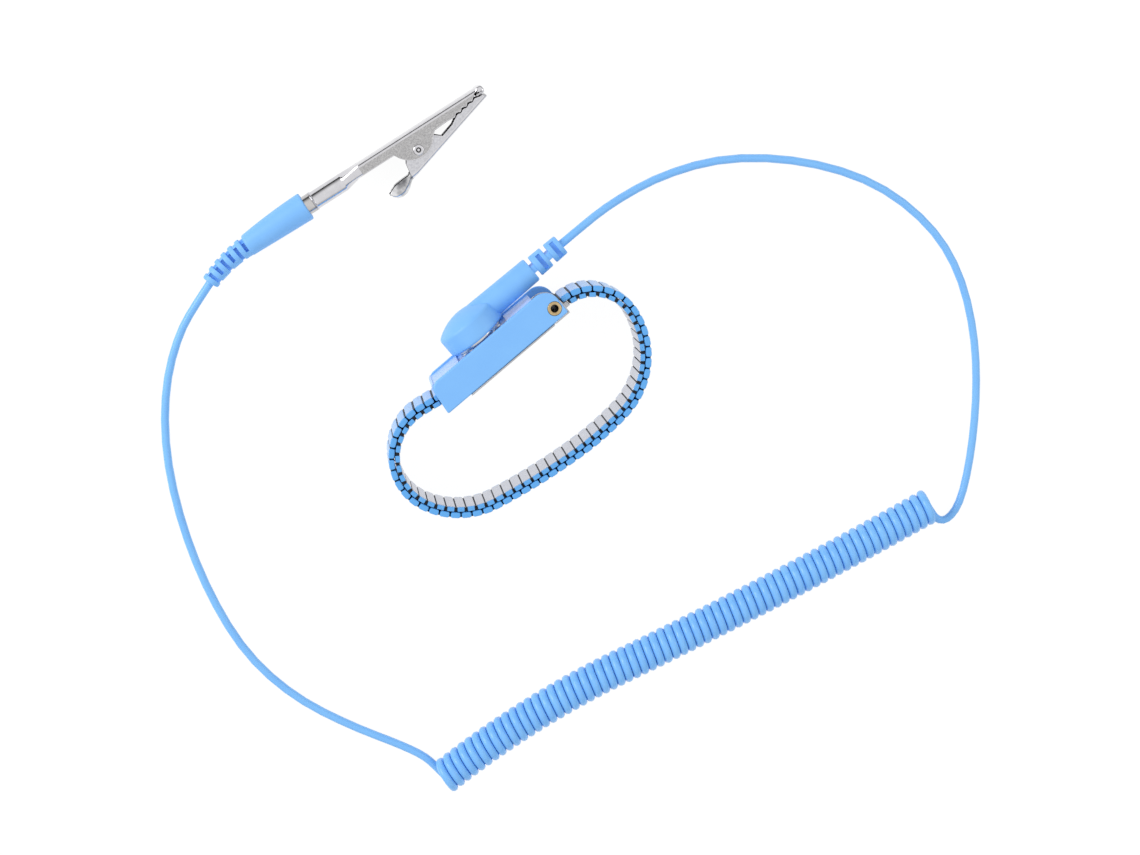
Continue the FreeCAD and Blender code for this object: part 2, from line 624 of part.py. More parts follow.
node("connector_moulding", cut(
    "connector_moulding_cut",
    fuse("connector_moulding_solid", button_round, barrel_round, relief_cut),
    cylinder("socket_seat", f"{SOCKET_RADIUS} + fixed_gap", f"{SOCKET_TOP} - {BUTTON_FOOT}",
             ("0", BUTTON_FOOT, "0"), "y"),
    socket_tab("tab_pocket", "fixed_gap", f"{SOCKET_TOP} - socket_roof - fixed_gap"),
    rod("lead_pocket", "resistor_lead + fixed_gap", TAB_END, RESISTOR_START),
    rod("resistor_pocket", "resistor_radius + fixed_gap", RESISTOR_START, RESISTOR_END),
    rod("link_pocket", "resistor_lead + fixed_gap", RESISTOR_END, CRIMP_START),
    rod("crimp_pocket", "crimp_radius + fixed_gap", CRIMP_START, CRIMP_END),
    rod("conductor_pocket", "conductor_radius + fixed_gap", CRIMP_END, RELIEF_END),
), SNAP_FRAME)
node("resistor", fuse(
    "resistor_whole",
    rod("resistor_front_lead", "resistor_lead", TAB_END, RESISTOR_START),
    rod("resistor_body", "resistor_radius", RESISTOR_START, RESISTOR_END),
    rod("resistor_rear_lead", "resistor_lead", RESISTOR_END, CRIMP_START),
), SNAP_FRAME)
node("wire_crimp", fuse(
    "wire_crimp_whole",
    rod("crimp", "crimp_radius", CRIMP_START, CRIMP_END),
    rod("conductor", "conductor_radius", CRIMP_END, RELIEF_END),
), SNAP_FRAME)


# Path of tangent arcs in the XY plane, for the band's middle line and for the coil's axis
def arc_step(position, heading, length, turn):
    """Position and heading after an arc; the turn is the arc's change of heading in degrees."""
    half = math.radians(turn) / 2
    chord = length * (math.sin(half) / half if half else 1)
    direction = math.radians(heading) + half
    step = Vector(chord * math.cos(direction), chord * math.sin(direction), 0)
    return position + step, heading + turn


def along_arcs(start, heading, arcs, distance):
    """Frame at a distance along the arcs: X along the path, Y to its left. The path runs straight
    past its end, and a distance under zero carries the first arc back past its start."""
    position = start
    for length, turn in arcs:
        if distance <= length:
            position, heading = arc_step(position, heading, distance, turn * distance / length)
            distance = 0
            break
        position, heading = arc_step(position, heading, length, turn)
        distance -= length
    if distance:
        position, heading = arc_step(position, heading, distance, 0)
    return Placement(position, Rotation(Vector(0, 0, 1), heading))


# Expansion band round the wrist: length and turn of each arc, from the anchor back to the buckle
BAND_ARCS = [
    [20.1, -97.8],
    [28.3, -78.3],
    [15.2, -11.0],
    [24.5, -8.3],
    [18.6, -52.9],
    [29.6, -122.6],
    [5.5, -2.2],
    [3.0, 10.5],
]
FITTED_ARCS = BAND_ARCS[1:6:2]
GROUPS = 26
PAIRS_IN_GROUP = 2
END_PAIRS = 3
BAND_START = Vector(size(f"{HINGE_X} + anchor_reach"), size("hinge_y - anchor_drop"), size(MIDDLE))


def fit_band():
    """Lengthen three arcs so that the band keeps its number of links and ends in the buckle."""
    pitch = size("link_pitch")
    goal = Vector(size("-housing_left + band_inset"), size(BAND_RISE), size(MIDDLE))
    wanted = size("first_link") + (GROUPS * PAIRS_IN_GROUP + 1) * pitch
    BAND_ARCS[-1][1] = -360 - size("start_heading") - sum(turn for length, turn in BAND_ARCS[:-1])
    position, heading = BAND_START, size("start_heading")
    columns = []
    for arc in BAND_ARCS:
        if arc in FITTED_ARCS:
            unit_step = arc_step(Vector(), heading, 1, arc[1])[0]
            columns.append(Vector(unit_step.x, unit_step.y, 1))
        position, heading = arc_step(position, heading, *arc)
    short = Vector(goal.x - position.x, goal.y - position.y,
                   wanted - sum(length for length, turn in BAND_ARCS))
    a, b, c = columns
    whole = a.dot(b.cross(c))
    parts = (short.dot(b.cross(c)), a.dot(short.cross(c)), a.dot(b.cross(short)))
    for arc, part in zip(FITTED_ARCS, parts):
        arc[0] += part / whole
    print("band arcs fitted by", [round(part / whole, 3) for part in parts], "mm")


fit_band()


def band_frame(distance):
    return along_arcs(BAND_START, size("start_heading"), BAND_ARCS, distance)


def bar(x0, x1, y0, y1, z0, z1):
    return Part.makeBox(x1 - x0, y1 - y0, z1 - z0, Vector(x0, y0, z0))


def outer_link():
    """Cup that faces the wrist: crowned top, full end walls, and sides cut away for the staples."""
    half, height = size("(link_pitch - link_gap) / 2"), size("link_height")
    low, wall, width = size("row_gap / 2"), size("link_sheet"), size(BAND_HALF)
    ends = Part.Face(Part.makePolygon([Vector(x, y, -width) for x, y in (
        (-0.7 * half, low), (0.7 * half, low), (0.95 * half, 0.25 * height), (half, 0.78 * height),
        (0.82 * half, height), (-0.82 * half, height), (-half, 0.78 * height),
        (-0.95 * half, 0.25 * height), (-0.7 * half, low))]))
    link = ends.extrude(Vector(0, 0, 2 * width))
    link = link.cut(bar(-half + wall, half - wall, 0, height - wall, wall - width, width - wall))
    window = size(f"{BAND_HALF} - link_window")
    return link.cut(bar(-half - 1, half + 1, 0, 0.66 * height, -window, window))


def inner_link():
    """Cup that faces outwards: steel plate on the wrist's side and two narrower end tabs."""
    half, tab = size("(link_pitch - inner_gap) / 2"), size("(link_pitch - tab_gap) / 2")
    height = size("inner_height")
    low, wall, width = size("row_gap / 2"), size("link_sheet"), size(BAND_HALF)
    tabs = Part.Face(Part.makePolygon([Vector(x, y, -width) for x, y in (
        (-0.75 * tab, -low), (0.75 * tab, -low), (tab, -0.3 * height), (tab, -height),
        (-tab, -height), (-tab, -0.3 * height), (-0.75 * tab, -low))]))
    link = tabs.extrude(Vector(0, 0, 2 * width))
    link = link.cut(bar(-tab + wall, tab - wall, wall - height, 0, wall - width, width - wall))
    window = size(f"{BAND_HALF} - link_window")
    link = link.cut(bar(-tab - 1, tab + 1, wall - height, 0, -window, window))
    return link.fuse(bar(-half, half, -height, wall - height, -width + wall, width - wall)).removeSplitter()


def staple():
    """Wire staple of a pair: bar across the inner link, two legs and two prongs to the next link."""
    lead, half = size("staple_lead"), size("staple_wire / 2")
    place, end = size(STAPLE_PLACE), size(f"{BAND_HALF} - link_sheet")
    rise, drop = size("prong_height"), -size("inner_height / 2 + staple_wire / 4")
    near, far = lead - half, lead + half
    tip = size("link_pitch - prong_gap") + near
    pieces = [bar(near, far, drop - half, drop + half, -end, end)]
    for side in (-1, 1):
        leg = sorted((side * (place - half), side * (place + half)))
        stub = sorted((side * (place - half), side * end))
        pieces.append(bar(near, far, drop, rise + half, *leg))
        pieces.append(bar(near, far, rise - half, rise + half, *stub))
        pieces.append(bar(near, tip, rise - half, rise + half, *leg))
    return pieces[0].multiFuse(pieces[1:]).removeSplitter()


OUTER_LINK = outer_link()
INNER_LINK = inner_link()
STAPLE = staple()


def moved(shape, frame):
    copy = shape.copy()
    copy.Placement = frame
    return copy


def link_pairs(first, count):
    """Outer shell, inner shell and staple of some pairs, in their places along the band."""
    pitch = size("link_pitch")
    pieces = []
    for number in range(first, first + count):
        place = size("first_link") + number * pitch
        pieces.append(moved(OUTER_LINK, band_frame(place)))
        pieces.append(moved(INNER_LINK, band_frame(place + pitch / 2)))
        pieces.append(moved(STAPLE, band_frame(place)))
    return pieces


for group in range(GROUPS):
    label = f"band_links_{group + 1:02d}"
    pairs = link_pairs(group * PAIRS_IN_GROUP, PAIRS_IN_GROUP)
    node(label, solid_feature(label + "_group", Part.makeCompound(pairs)))
node("band_end", solid_feature(
    "band_end_group", Part.makeCompound(link_pairs(GROUPS * PAIRS_IN_GROUP, END_PAIRS))))


def band_anchor():
    """Sleeve round the eyelet, a tongue to the band and the first half link with its prongs."""
    hinge = Vector(size(HINGE_X), size("hinge_y"), 0)
    low, high = size(f"{MIDDLE} - {BAND_HALF} + link_sheet"), size(f"2 * ({BAND_HALF} - link_sheet)")
    foot = Vector(hinge.x, hinge.y, low)
    sleeve = Part.makeCylinder(size("anchor_sleeve"), high, foot)
    before = size("first_link - link_pitch")
    tongue = bar(hinge.x, BAND_START.x + 0.2, BAND_START.y - size("anchor_tongue / 2"),
                 BAND_START.y + size("anchor_tongue / 2"), low, low + high)
    pieces = [tongue, moved(INNER_LINK, band_frame(before + size("link_pitch / 2"))),
              moved(STAPLE, band_frame(before))]
    bore = Part.makeCylinder(size("eyelet_radius + running_gap"), high, foot)
    return sleeve.multiFuse(pieces).cut(bore).removeSplitter()


node("band_anchor", solid_feature("band_anchor_whole", band_anchor()))


def outline(corners):
    """Closed face from corners; four numbers are an arc through the first pair to the second."""
    edges = []
    here = Vector(corners[0][0], corners[0][1], 0)
    for corner in list(corners[1:]) + [corners[0][:2]]:
        there = Vector(corner[-2], corner[-1], 0)
        if len(corner) == 4:
            edges.append(Part.Arc(here, Vector(corner[0], corner[1], 0), there).toShape())
        else:
            edges.append(Part.LineSegment(here, there).toShape())
        here = there
    return Part.Face(Part.Wire(edges))


def plate(corners, low, high):
    """Flat plate of the outline between two heights."""
    face = outline(corners)
    face.translate(Vector(0, 0, low))
    return face.extrude(Vector(0, 0, high - low))


def teeth(start, end, depth):
    """Zigzag from start to end; the points between lie the depth to the right of the line."""
    count = int(size("tooth_count"))
    across = Vector(end[0] - start[0], end[1] - start[1], 0)
    aside = Vector(across.y, -across.x, 0).normalize() * depth
    points = []
    for number in range(count):
        base = Vector(*start, 0) + across * (number / count)
        inner = base + across * (0.5 / count) + aside
        points += [(base.x, base.y), (inner.x, inner.y)]
    return points + [tuple(end)]


JAW_LOW = size("pivot_head_height")
JAW_HIGH = JAW_LOW + size("jaw_width")
TIP = size("clip_length")
PIVOT = Vector(size("pivot_x"), size("pivot_y"), 0)
NECK_END = size("clip_barrel_length + neck_length")


def octagon(x, y_middle, flat):
    """Eight corners round the plug's axis whose flats lie at the given radius."""
    radius = flat / math.cos(math.radians(22.5))
    corners = []
    for number in range(8):
        angle = math.radians(22.5 + 45 * number)
        corners.append(Vector(x, y_middle + radius * math.cos(angle), radius * math.sin(angle)))
    return corners


def channel_section(x, top, foot, half, corner):
    """Eight corners of the folded jaw's section, in the octagon's order."""
    return [Vector(x, y, z) for y, z in (
        (top, half - corner), (top - corner, half), (foot + corner, half), (foot, half - corner),
        (foot, corner - half), (foot + corner, -half), (top - corner, -half), (top, corner - half))]


def ruled(first, second):
    wires = [Part.makePolygon(corners + corners[:1]) for corners in (first, second)]
    return Part.makeLoft(wires, True, True)


def upper_jaw():
    """Rolled barrel, folded neck and toothed channel of one sheet."""
    sheet_wall, back, foot = size("jaw_sheet"), size("jaw_back"), size("neck_foot")
    bend, half, rise = size("jaw_bend"), size("jaw_width / 2"), size("plug_rise")
    belly = size("belly_radius")
    corners = [(NECK_END, back), (TIP - 1.9, back), (TIP - 0.35, back - 0.35, TIP, back - 1.2),
               (TIP - 0.3, back - 1.9), (TIP - 1.2, back - 2.3)]
    corners += teeth((TIP - 2.2, 0.9), (PIVOT.x + 12.0, -0.5), size("tooth_depth"))
    corners += [(PIVOT.x + 10.0, PIVOT.y + 2.1), (PIVOT.x + 6.1, PIVOT.y + 1.9),
                (PIVOT.x + 5.0, PIVOT.y + 0.9),
                (PIVOT.x - 0.1, PIVOT.y + 4.0 - belly, PIVOT.x - 5.1, PIVOT.y + 1.0),
                (PIVOT.x - 5.9, foot), (NECK_END, foot)]
    jaw = plate(corners, JAW_LOW, JAW_HIGH)
    ridge = [edge for edge in jaw.Edges
             if edge.BoundBox.YMin > back - 0.01 and edge.BoundBox.XLength > 10]
    jaw = jaw.makeFillet(bend, ridge)
    inside = plate([(NECK_END - 1, back - sheet_wall), (TIP - 1.0, back - sheet_wall),
                    (TIP - 1.0, -20), (NECK_END - 1, -20)], JAW_LOW + sheet_wall, JAW_HIGH - sheet_wall)
    ridge = [edge for edge in inside.Edges
             if edge.BoundBox.YMin > back - sheet_wall - 0.01 and edge.BoundBox.XLength > 10]
    jaw = jaw.cut(inside.makeFillet(bend - sheet_wall, ridge))
    jaw = jaw.cut(Part.makeCylinder(size("pivot_radius + fixed_gap"), JAW_HIGH + 1, PIVOT))
    start, lap = size("clip_barrel_length"), 0.3
    wall = size(f"clip_barrel - {BARREL_BORE}")
    neck = ruled(octagon(start - lap, rise, size("clip_barrel")),
                 channel_section(NECK_END + lap, back, foot, half, 0.55 * bend))
    hollow = ruled(octagon(start - lap, rise, size(BARREL_BORE)),
                   channel_section(NECK_END + lap, back - sheet_wall, foot - 1, half - sheet_wall,
                                   0.3 * bend))
    neck = neck.cut(hollow)
    along = Vector(1, 0, 0)
    axis = Vector(size("running_gap"), rise, 0)
    tube = Part.makeCylinder(size("clip_barrel"), start - axis.x, axis, along)
    collar = Part.makeCylinder(size("clip_barrel + clip_collar"), size("clip_collar_length"), axis, along)
    tube = tube.fuse(collar).cut(Part.makeCylinder(size("clip_barrel") - wall, start, axis, along))
    rear = tube.fuse(neck)
    rear.translate(Vector(0, 0, size(CLIP_MIDDLE)))
    return jaw.fuse(rear).removeSplitter()


def lower_jaw():
    """Toothed channel that opens, with the dished thumb lever behind the pivot."""
    low = JAW_LOW + size("jaw_sheet + jaw_gap")
    high = JAW_HIGH - size("jaw_sheet + jaw_gap")
    wall = size("jaw_sheet")
    lever_foot = (PIVOT.x - 5.3, PIVOT.y - 5.7)
    tip_foot = (TIP - 0.3, -0.6)
    corners = [lever_foot, tip_foot, (TIP - 0.2, 0.1), (TIP - 0.9, 0.55), (TIP - 2.2, 0.55)]
    corners += teeth((TIP - 2.25, 0.75), (PIVOT.x + 12.0, -0.65), size("tooth_depth"))[1:]
    corners += [(PIVOT.x + 10.6, PIVOT.y + 0.8), (PIVOT.x + 6.9, PIVOT.y - 0.3),
                (PIVOT.x + 5.5, PIVOT.y + 0.9), (PIVOT.x + 2.6, PIVOT.y + 2.2),
                (PIVOT.x, PIVOT.y + 2.6, PIVOT.x - 2.9, PIVOT.y + 1.6), (PIVOT.x - 4.4, PIVOT.y - 0.6),
                (PIVOT.x - 4.9, PIVOT.y - 3.9), (PIVOT.x - 7.3, PIVOT.y - 4.2),
                (PIVOT.x - 9.8, PIVOT.y - 4.6), (PIVOT.x - 12.1, PIVOT.y - 5.7),
                (PIVOT.x - 11.7, PIVOT.y - 6.4), (PIVOT.x - 10.3, PIVOT.y - 7.35),
                (PIVOT.x - 8.8, PIVOT.y - 7.1)]
    jaw = plate(corners, low, high)
    slope = (tip_foot[1] - lever_foot[1]) / (tip_foot[0] - lever_foot[0])
    lift = wall * math.hypot(1, slope)
    front, rear = TIP - 1.0, PIVOT.x - 8.8

    def strip_top(x):
        return lever_foot[1] + slope * (x - lever_foot[0]) + lift

    inside = plate([(rear, PIVOT.y - 7.1 + wall), (lever_foot[0], strip_top(lever_foot[0])),
                    (front, strip_top(front)), (front, 5), (PIVOT.x - 12.5, 5),
                    (PIVOT.x - 11.3, PIVOT.y - 5.8), (PIVOT.x - 10.1, PIVOT.y - 6.75)],
                   low + wall, high - wall)
    jaw = jaw.cut(inside)
    return jaw.cut(Part.makeCylinder(size("pivot_radius + running_gap"), JAW_HIGH + 1, PIVOT))


node("clip_upper_jaw", solid_feature("upper_jaw_whole", upper_jaw()), CLIP_FRAME, True)
node("clip_lower_jaw", solid_feature("lower_jaw_whole", lower_jaw()), CLIP_FRAME, True)

HEAD_TOP = "(jaw_width + 2 * pivot_head_height)"
node("clip_rivet", cut(
    "clip_rivet_cut",
    fuse("clip_rivet_solid",
         cylinder("pivot_shank", "pivot_radius", HEAD_TOP, ("pivot_x", "pivot_y", "0")),
         cylinder("pivot_head_low", "pivot_head", "pivot_head_height", ("pivot_x", "pivot_y", "0")),
         cylinder("pivot_head_high", "pivot_head", "pivot_head_height",
                  ("pivot_x", "pivot_y", f"{HEAD_TOP} - pivot_head_height"))),
    cylinder("pivot_dimple_hole", "pivot_dimple", "pivot_head_height",
             ("pivot_x", "pivot_y", f"{HEAD_TOP} - pivot_head_height")),
), CLIP_FRAME, True)


# Round wires and cords: runs joined by tangent arcs, and coils as biarcs of a quarter turn
def rounded_route(points, name):
    """Straight runs joined by tangent arcs, each as large as its two runs allow."""
    edges = []
    radii = []
    here = points[0]
    for before, corner, after in zip(points, points[1:], points[2:]):
        back = before - corner
        ahead = after - corner
        shorter = min(back.Length, ahead.Length)
        turn = math.pi - back.getAngle(ahead)
        reach = 0.45 * shorter
        radii.append(reach / math.tan(turn / 2))
        start = corner + back.normalize() * reach
        end = corner + ahead.normalize() * reach
        inward = (back + ahead).normalize()
        top = corner + inward * (radii[-1] / math.cos(turn / 2) - radii[-1])
        edges.append(Part.LineSegment(here, start).toShape())
        edges.append(Part.Arc(start, top, end).toShape())
        here = end
    edges.append(Part.LineSegment(here, points[-1]).toShape())
    print(name, "bend radii", [round(radius, 1) for radius in radii])
    return edges


def swept(edges, radius, name):
    """Tube along tangent edges; prints its volume against its section times its length."""
    path = Part.Wire(edges)
    start = edges[0]
    ring = Part.Wire(Part.makeCircle(radius, start.valueAt(start.FirstParameter),
                                     start.tangentAt(start.FirstParameter)))
    tube = path.makePipeShell([ring], True, False)
    share = tube.Volume / (math.pi * radius ** 2 * path.Length)
    print(name, "length", round(path.Length, 1), "volume share", round(share, 4))
    return tube


def arc_from(start, direction, end):
    """Arc that leaves start along direction and reaches end."""
    chord = end - start
    along = chord * (1 / chord.Length)
    aside = direction - along * direction.dot(along)
    half_angle = direction.getAngle(along)
    if aside.Length < 1e-6:
        return Part.LineSegment(start, end).toShape()
    bulge = chord.Length / 2 * math.tan(half_angle / 2)
    top = start + chord * 0.5 + aside.normalize() * bulge
    return Part.Arc(start, top, end).toShape()


def biarc(start, direction, end, end_direction):
    """The two tangent arcs between two points with given directions."""
    span = end - start
    both = direction + end_direction
    twice = 2 * (1 - direction.dot(end_direction))
    along = span.dot(both)
    reach = (math.sqrt(along ** 2 + twice * span.dot(span)) - along) / twice
    joint = (start + end + (direction - end_direction) * reach) * 0.5
    middle_direction = (joint - (start + direction * reach)).normalize()
    return [arc_from(start, direction, joint), arc_from(joint, middle_direction, end)]


def helix_edges(place, turns, steps):
    """Biarcs through a helix; place gives the point and direction at a number of turns."""
    edges = []
    count = int(round(turns * steps))
    for number in range(count):
        start, direction = place(number / steps)
        end, end_direction = place((number + 1) / steps)
        edges += biarc(start, direction, end, end_direction)
    return edges


def clip_spring():
    """Torsion spring round the rivet, with a leg to each jaw."""
    radius, pitch, turns = size("spring_radius"), size("spring_pitch"), size("spring_turns")
    first = size(CLIP_MIDDLE) - pitch * turns / 2
    start_angle = 100

    def place(turn):
        angle = math.radians(start_angle + 360 * turn)
        point = PIVOT + Vector(radius * math.cos(angle), radius * math.sin(angle), first + pitch * turn)
        slope = pitch / (2 * math.pi * radius)
        return point, Vector(-math.sin(angle), math.cos(angle), slope).normalize()

    edges = helix_edges(place, turns, 4)
    leg = size("spring_leg")
    start, direction = place(0)
    end, end_direction = place(turns)
    edges.insert(0, Part.LineSegment(start - direction * leg * 0.6, start).toShape())
    edges.append(Part.LineSegment(end, end + end_direction * leg).toShape())
    return swept(edges, size("spring_wire"), "clip spring")


node("clip_spring", solid_feature("clip_spring_wire", clip_spring()), CLIP_FRAME, True)

# Banana plug and its spring cage, about the barrel's axis
PIN_RING = "(pin_radius + cage_groove)"
CAGE_END = "(cage_start + cage_length)"
BULGE = f"({BARREL_BORE} - running_gap)"
plug_body = turned_body("banana_plug_body", (
    ("-collar_length - cup_length", "0"),
    ("-collar_length - cup_length", "cup_radius"),
    ("-collar_length", "cup_radius"),
    ("-collar_length", "collar_radius"),
    ("0", "collar_radius"),
    ("0", "pin_radius"),
    ("pin_length - pin_point", "pin_radius"),
    ("pin_length", "pin_radius - pin_point"),
    ("pin_length", "0"),
), "H_Axis")
node("banana_plug", cut(
    "banana_plug_cut", plug_body,
    cylinder("cup_hole", "conductor_radius + fixed_gap", "cup_depth",
             ("-collar_length - cup_length", "0", "0"), "x")), PLUG_FRAME, True)
cage_turned = turned_body("spring_cage_body", (
    ("cage_start", PIN_RING),
    ("cage_start + cage_band", PIN_RING),
    ("cage_start + cage_length / 2", f"{BULGE} - cage_sheet"),
    (f"{CAGE_END} - cage_band", PIN_RING),
    (CAGE_END, PIN_RING),
    (CAGE_END, f"{PIN_RING} + cage_sheet"),
    (f"{CAGE_END} - cage_band", f"{PIN_RING} + cage_sheet"),
    ("cage_start + cage_length / 2", BULGE),
    ("cage_start + cage_band", f"{PIN_RING} + cage_sheet"),
    ("cage_start", f"{PIN_RING} + cage_sheet"),
), "H_Axis")
CAGE_SPAN = ("cage_start + cage_band", f"{CAGE_END} - cage_band")
SLOT_SPAN = ("-cage_slot / 2", "cage_slot / 2")
WIDE_SPAN = ("-clip_barrel", "clip_barrel")
node("plug_spring_cage", cut(
    "plug_spring_cage_cut", cage_turned,
    block("cage_slot_flat", CAGE_SPAN, SLOT_SPAN, WIDE_SPAN),
    block("cage_slot_upright", CAGE_SPAN, WIDE_SPAN, SLOT_SPAN)), PLUG_FRAME, True)

# Plug sleeve: convex grip, then a bent strain relief with slots that alternate
TAIL_START = Vector(size("-collar_length - sleeve_length"), -0.45, 0)
TAIL_HEADING = 181.4


def tail_frame(distance):
    arcs = [(size("tail_length"), size("tail_turn"))]
    return along_arcs(TAIL_START, TAIL_HEADING, arcs, distance)


def ring_at(frame, radius):
    direction = frame.Rotation.multVec(Vector(1, 0, 0))
    return Part.Wire(Part.makeCircle(radius, frame.Base, direction))


def inner_wire_edges():
    """Middle line of the conductor from the solder cup to the strain relief's tip."""
    cup_floor = Vector(size("-collar_length - cup_length + cup_depth"), 0, 0)
    cup_mouth = Vector(size("-collar_length - cup_length"), 0, 0)
    joint = tail_frame(0)
    heading = joint.Rotation.multVec(Vector(1, 0, 0))
    bend = biarc(cup_mouth, Vector(-1, 0, 0), joint.Base, heading)
    tip = tail_frame(size("tail_length")).Base
    return [Part.LineSegment(cup_floor, cup_mouth).toShape()] + bend + [
        Part.Arc(joint.Base, tail_frame(size("tail_length / 2")).Base, tip).toShape()]


def plug_sleeve():
    """Sleeve cut for the plug's shank, the conductor and the slots."""
    front = size("-collar_length")
    half_way = Vector(front - size("sleeve_length / 2"), -0.1, 0)
    backwards = Rotation(Vector(0, 0, 1), 180)
    stations = [
        ring_at(Placement(Vector(front, 0, 0), backwards), size("sleeve_front")),
        ring_at(Placement(half_way, backwards), size("sleeve_middle")),
        ring_at(Placement(TAIL_START, backwards), size("sleeve_rear")),
    ]
    grip = Part.makeLoft(stations, True, False)
    rim = [edge for edge in grip.Edges if edge.BoundBox.XMin > front - 0.01]
    grip = grip.makeFillet(size("sleeve_round"), rim)
    length = size("tail_length")
    rings = []
    for share in (-0.03, 0.33, 0.67, 1.0):
        radius = size("sleeve_rear") - max(share, 0) * size("sleeve_rear - tail_tip") - 0.15 * (share < 1)
        rings.append(ring_at(tail_frame(share * length) if share > 0 else tail_frame(0), radius))
    tail = Part.makeLoft(rings, True, False)
    sleeve = grip.fuse(tail)
    depth, shift = size("tail_slot_floor"), size("tail_slot_shift")
    half, reach = size("tail_slot_width / 2"), size("tail_slot_length / 2")
    count = int(size("tail_slots"))
    for number in range(count):
        frame = tail_frame(length * (number + 0.45) / (count - 0.1))
        offset = shift if number % 2 else -shift
        for low, high in ((depth, 4), (-4, -depth)):
            slot = bar(-half, half, offset - reach, offset + reach, low, high)
            sleeve = sleeve.cut(moved(slot, frame))
    shank = Part.makeCylinder(size("cup_radius + fixed_gap"), size("cup_length"),
                              Vector(front, 0, 0), Vector(-1, 0, 0))
    sleeve = sleeve.cut(shank)
    return sleeve.cut(swept(inner_wire_edges(), size("conductor_radius + fixed_gap"), "wire pocket"))


node("plug_sleeve", solid_feature("plug_sleeve_whole", plug_sleeve()), PLUG_FRAME, True)
node("plug_conductor", solid_feature(
    "plug_conductor_wire", swept(inner_wire_edges(), size("conductor_radius"), "plug conductor")),
    PLUG_FRAME, True)

# Coil: left-handed turns about a gently bent axis, both leads leave from under it
COIL_START = Vector(-83.3, -75.6, 0)
COIL_HEADING = -1.9
COIL_ARCS = [(56.0, -13.2), (92.0, 3.8)]
COIL_LENGTH = sum(length for length, turn in COIL_ARCS)
COIL_PITCH = COIL_LENGTH / size("coil_turns")
COIL_SLOPE = math.atan(COIL_PITCH / (2 * math.pi * size("coil_radius")))
COIL_WIRE = COIL_PITCH * math.cos(COIL_SLOPE) - size("coil_clearance")
CORD_RADIUS = size("cord_diameter / 2")


def coil_point(turn):
    """Point of the coil's middle line; it starts and ends at the lowest point of a turn."""
    frame = along_arcs(COIL_START, COIL_HEADING, COIL_ARCS, turn * COIL_PITCH)
    angle = math.radians(-90 - 360 * turn)
    radius = size("coil_radius")
    side = frame.Rotation.multVec(Vector(0, 1, 0))
    rise = Vector(0, 0, CORD_RADIUS + radius)
    return frame.Base + rise + side * (radius * math.cos(angle)) + Vector(0, 0, radius * math.sin(angle))


def coil_place(turn):
    """Point and direction of the coil's middle line."""
    step = 1e-4
    return coil_point(turn), (coil_point(turn + step) - coil_point(turn - step)).normalize()


def coil_least_gap():
    """Least gap between the tube and itself, from points of its middle line."""
    steps = 36
    points = [coil_point(number / steps) for number in range(int(size("coil_turns")) * steps)]
    least = min(
        (points[i] - points[j]).Length
        for i in range(len(points))
        for j in range(i + steps // 2, min(i + 2 * steps, len(points))))
    return least - COIL_WIRE


coil_start, coil_in = coil_place(0)
coil_end, coil_out = coil_place(size("coil_turns"))
coil_lead_in = coil_start - coil_in * COIL_WIRE
coil_lead_out = coil_end + coil_out * COIL_WIRE
coil_edges = helix_edges(coil_place, size("coil_turns"), 4)
coil_edges.insert(0, Part.LineSegment(coil_lead_in, coil_start).toShape())
coil_edges.append(Part.LineSegment(coil_end, coil_lead_out).toShape())
node("coil", solid_feature("coil_tube", swept(coil_edges, COIL_WIRE / 2, "coil")), STUD_FRAME, True)
print("coil wire", round(COIL_WIRE, 3), "least gap", round(coil_least_gap(), 3))


# Leads: straight out of the strain relief, down to the surface and round to the coil
def lead(label, ends, route):
    """Tube from one piece to another; ends hold a point and the direction out of it."""
    (first, first_out), (last, last_out) = ends
    points = [first, first + first_out] + [Vector(*point) for point in route]
    points += [last + last_out, last]
    edges = rounded_route(points, label)
    node(label, solid_feature(label + "_tube", swept(edges, CORD_RADIUS, label)), STUD_FRAME, True)


wrist_exit = Vector(size(RELIEF_END), size(BARREL_AXIS), size(MIDDLE))
lead("lead_to_wrist", (
    (wrist_exit, Vector(6.0, 0, 0)),
    (coil_lead_out, coil_out * 4.2),
), (
    (47.5, 12.4, 5.4),
    (62.5, 8.9, 1.5),
    (78.5, 1.4, 1.05),
    (93.6, -12.6, 1.05),
    (104.4, -29.2, 1.05),
    (108.6, -47.0, 1.05),
    (107.0, -62.0, 1.05),
    (100.2, -77.2, 1.05),
    (91.0, -90.2, 1.05),
    (80.0, -102.0, 1.05),
    (69.5, -110.9, 1.05),
    (63.6, -112.8, 1.05),
))
tail_tip = PLUG_FRAME.multiply(tail_frame(size("tail_length")))
lead("lead_to_clip", (
    (tail_tip.Base, tail_tip.Rotation.multVec(Vector(5.0, 0, 0))),
    (coil_lead_in, coil_in * -5.0),
), (
    (-56.8, 58.2, 2.6),
    (-69.0, 50.0, 1.05),
    (-80.6, 36.8, 1.05),
    (-90.2, 19.5, 1.05),
    (-97.0, 1.0, 1.05),
    (-100.4, -17.0, 1.05),
    (-98.6, -34.0, 1.05),
    (-92.8, -49.5, 1.05),
    (-86.8, -61.5, 1.05),
))

# Row origin: middle of the footprint of the wristband and its connector, on the surface
doc.recompute()
for label, (piece, frame) in nodes.items():
    piece.Placement = frame
doc.recompute()
reach = FreeCAD.BoundBox()
for label, (piece, frame) in nodes.items():
    if label not in CORD_SIDE:
        reach.add(piece.Shape.optimalBoundingBox())
shift = Placement(Vector(-reach.Center.x, -reach.Center.y, -reach.ZMin), Rotation())
for label, (piece, frame) in nodes.items():
    piece.Placement = shift.multiply(frame)
doc.recompute()
print("snap axis in the row frame", shift.Base, "wristband", reach)

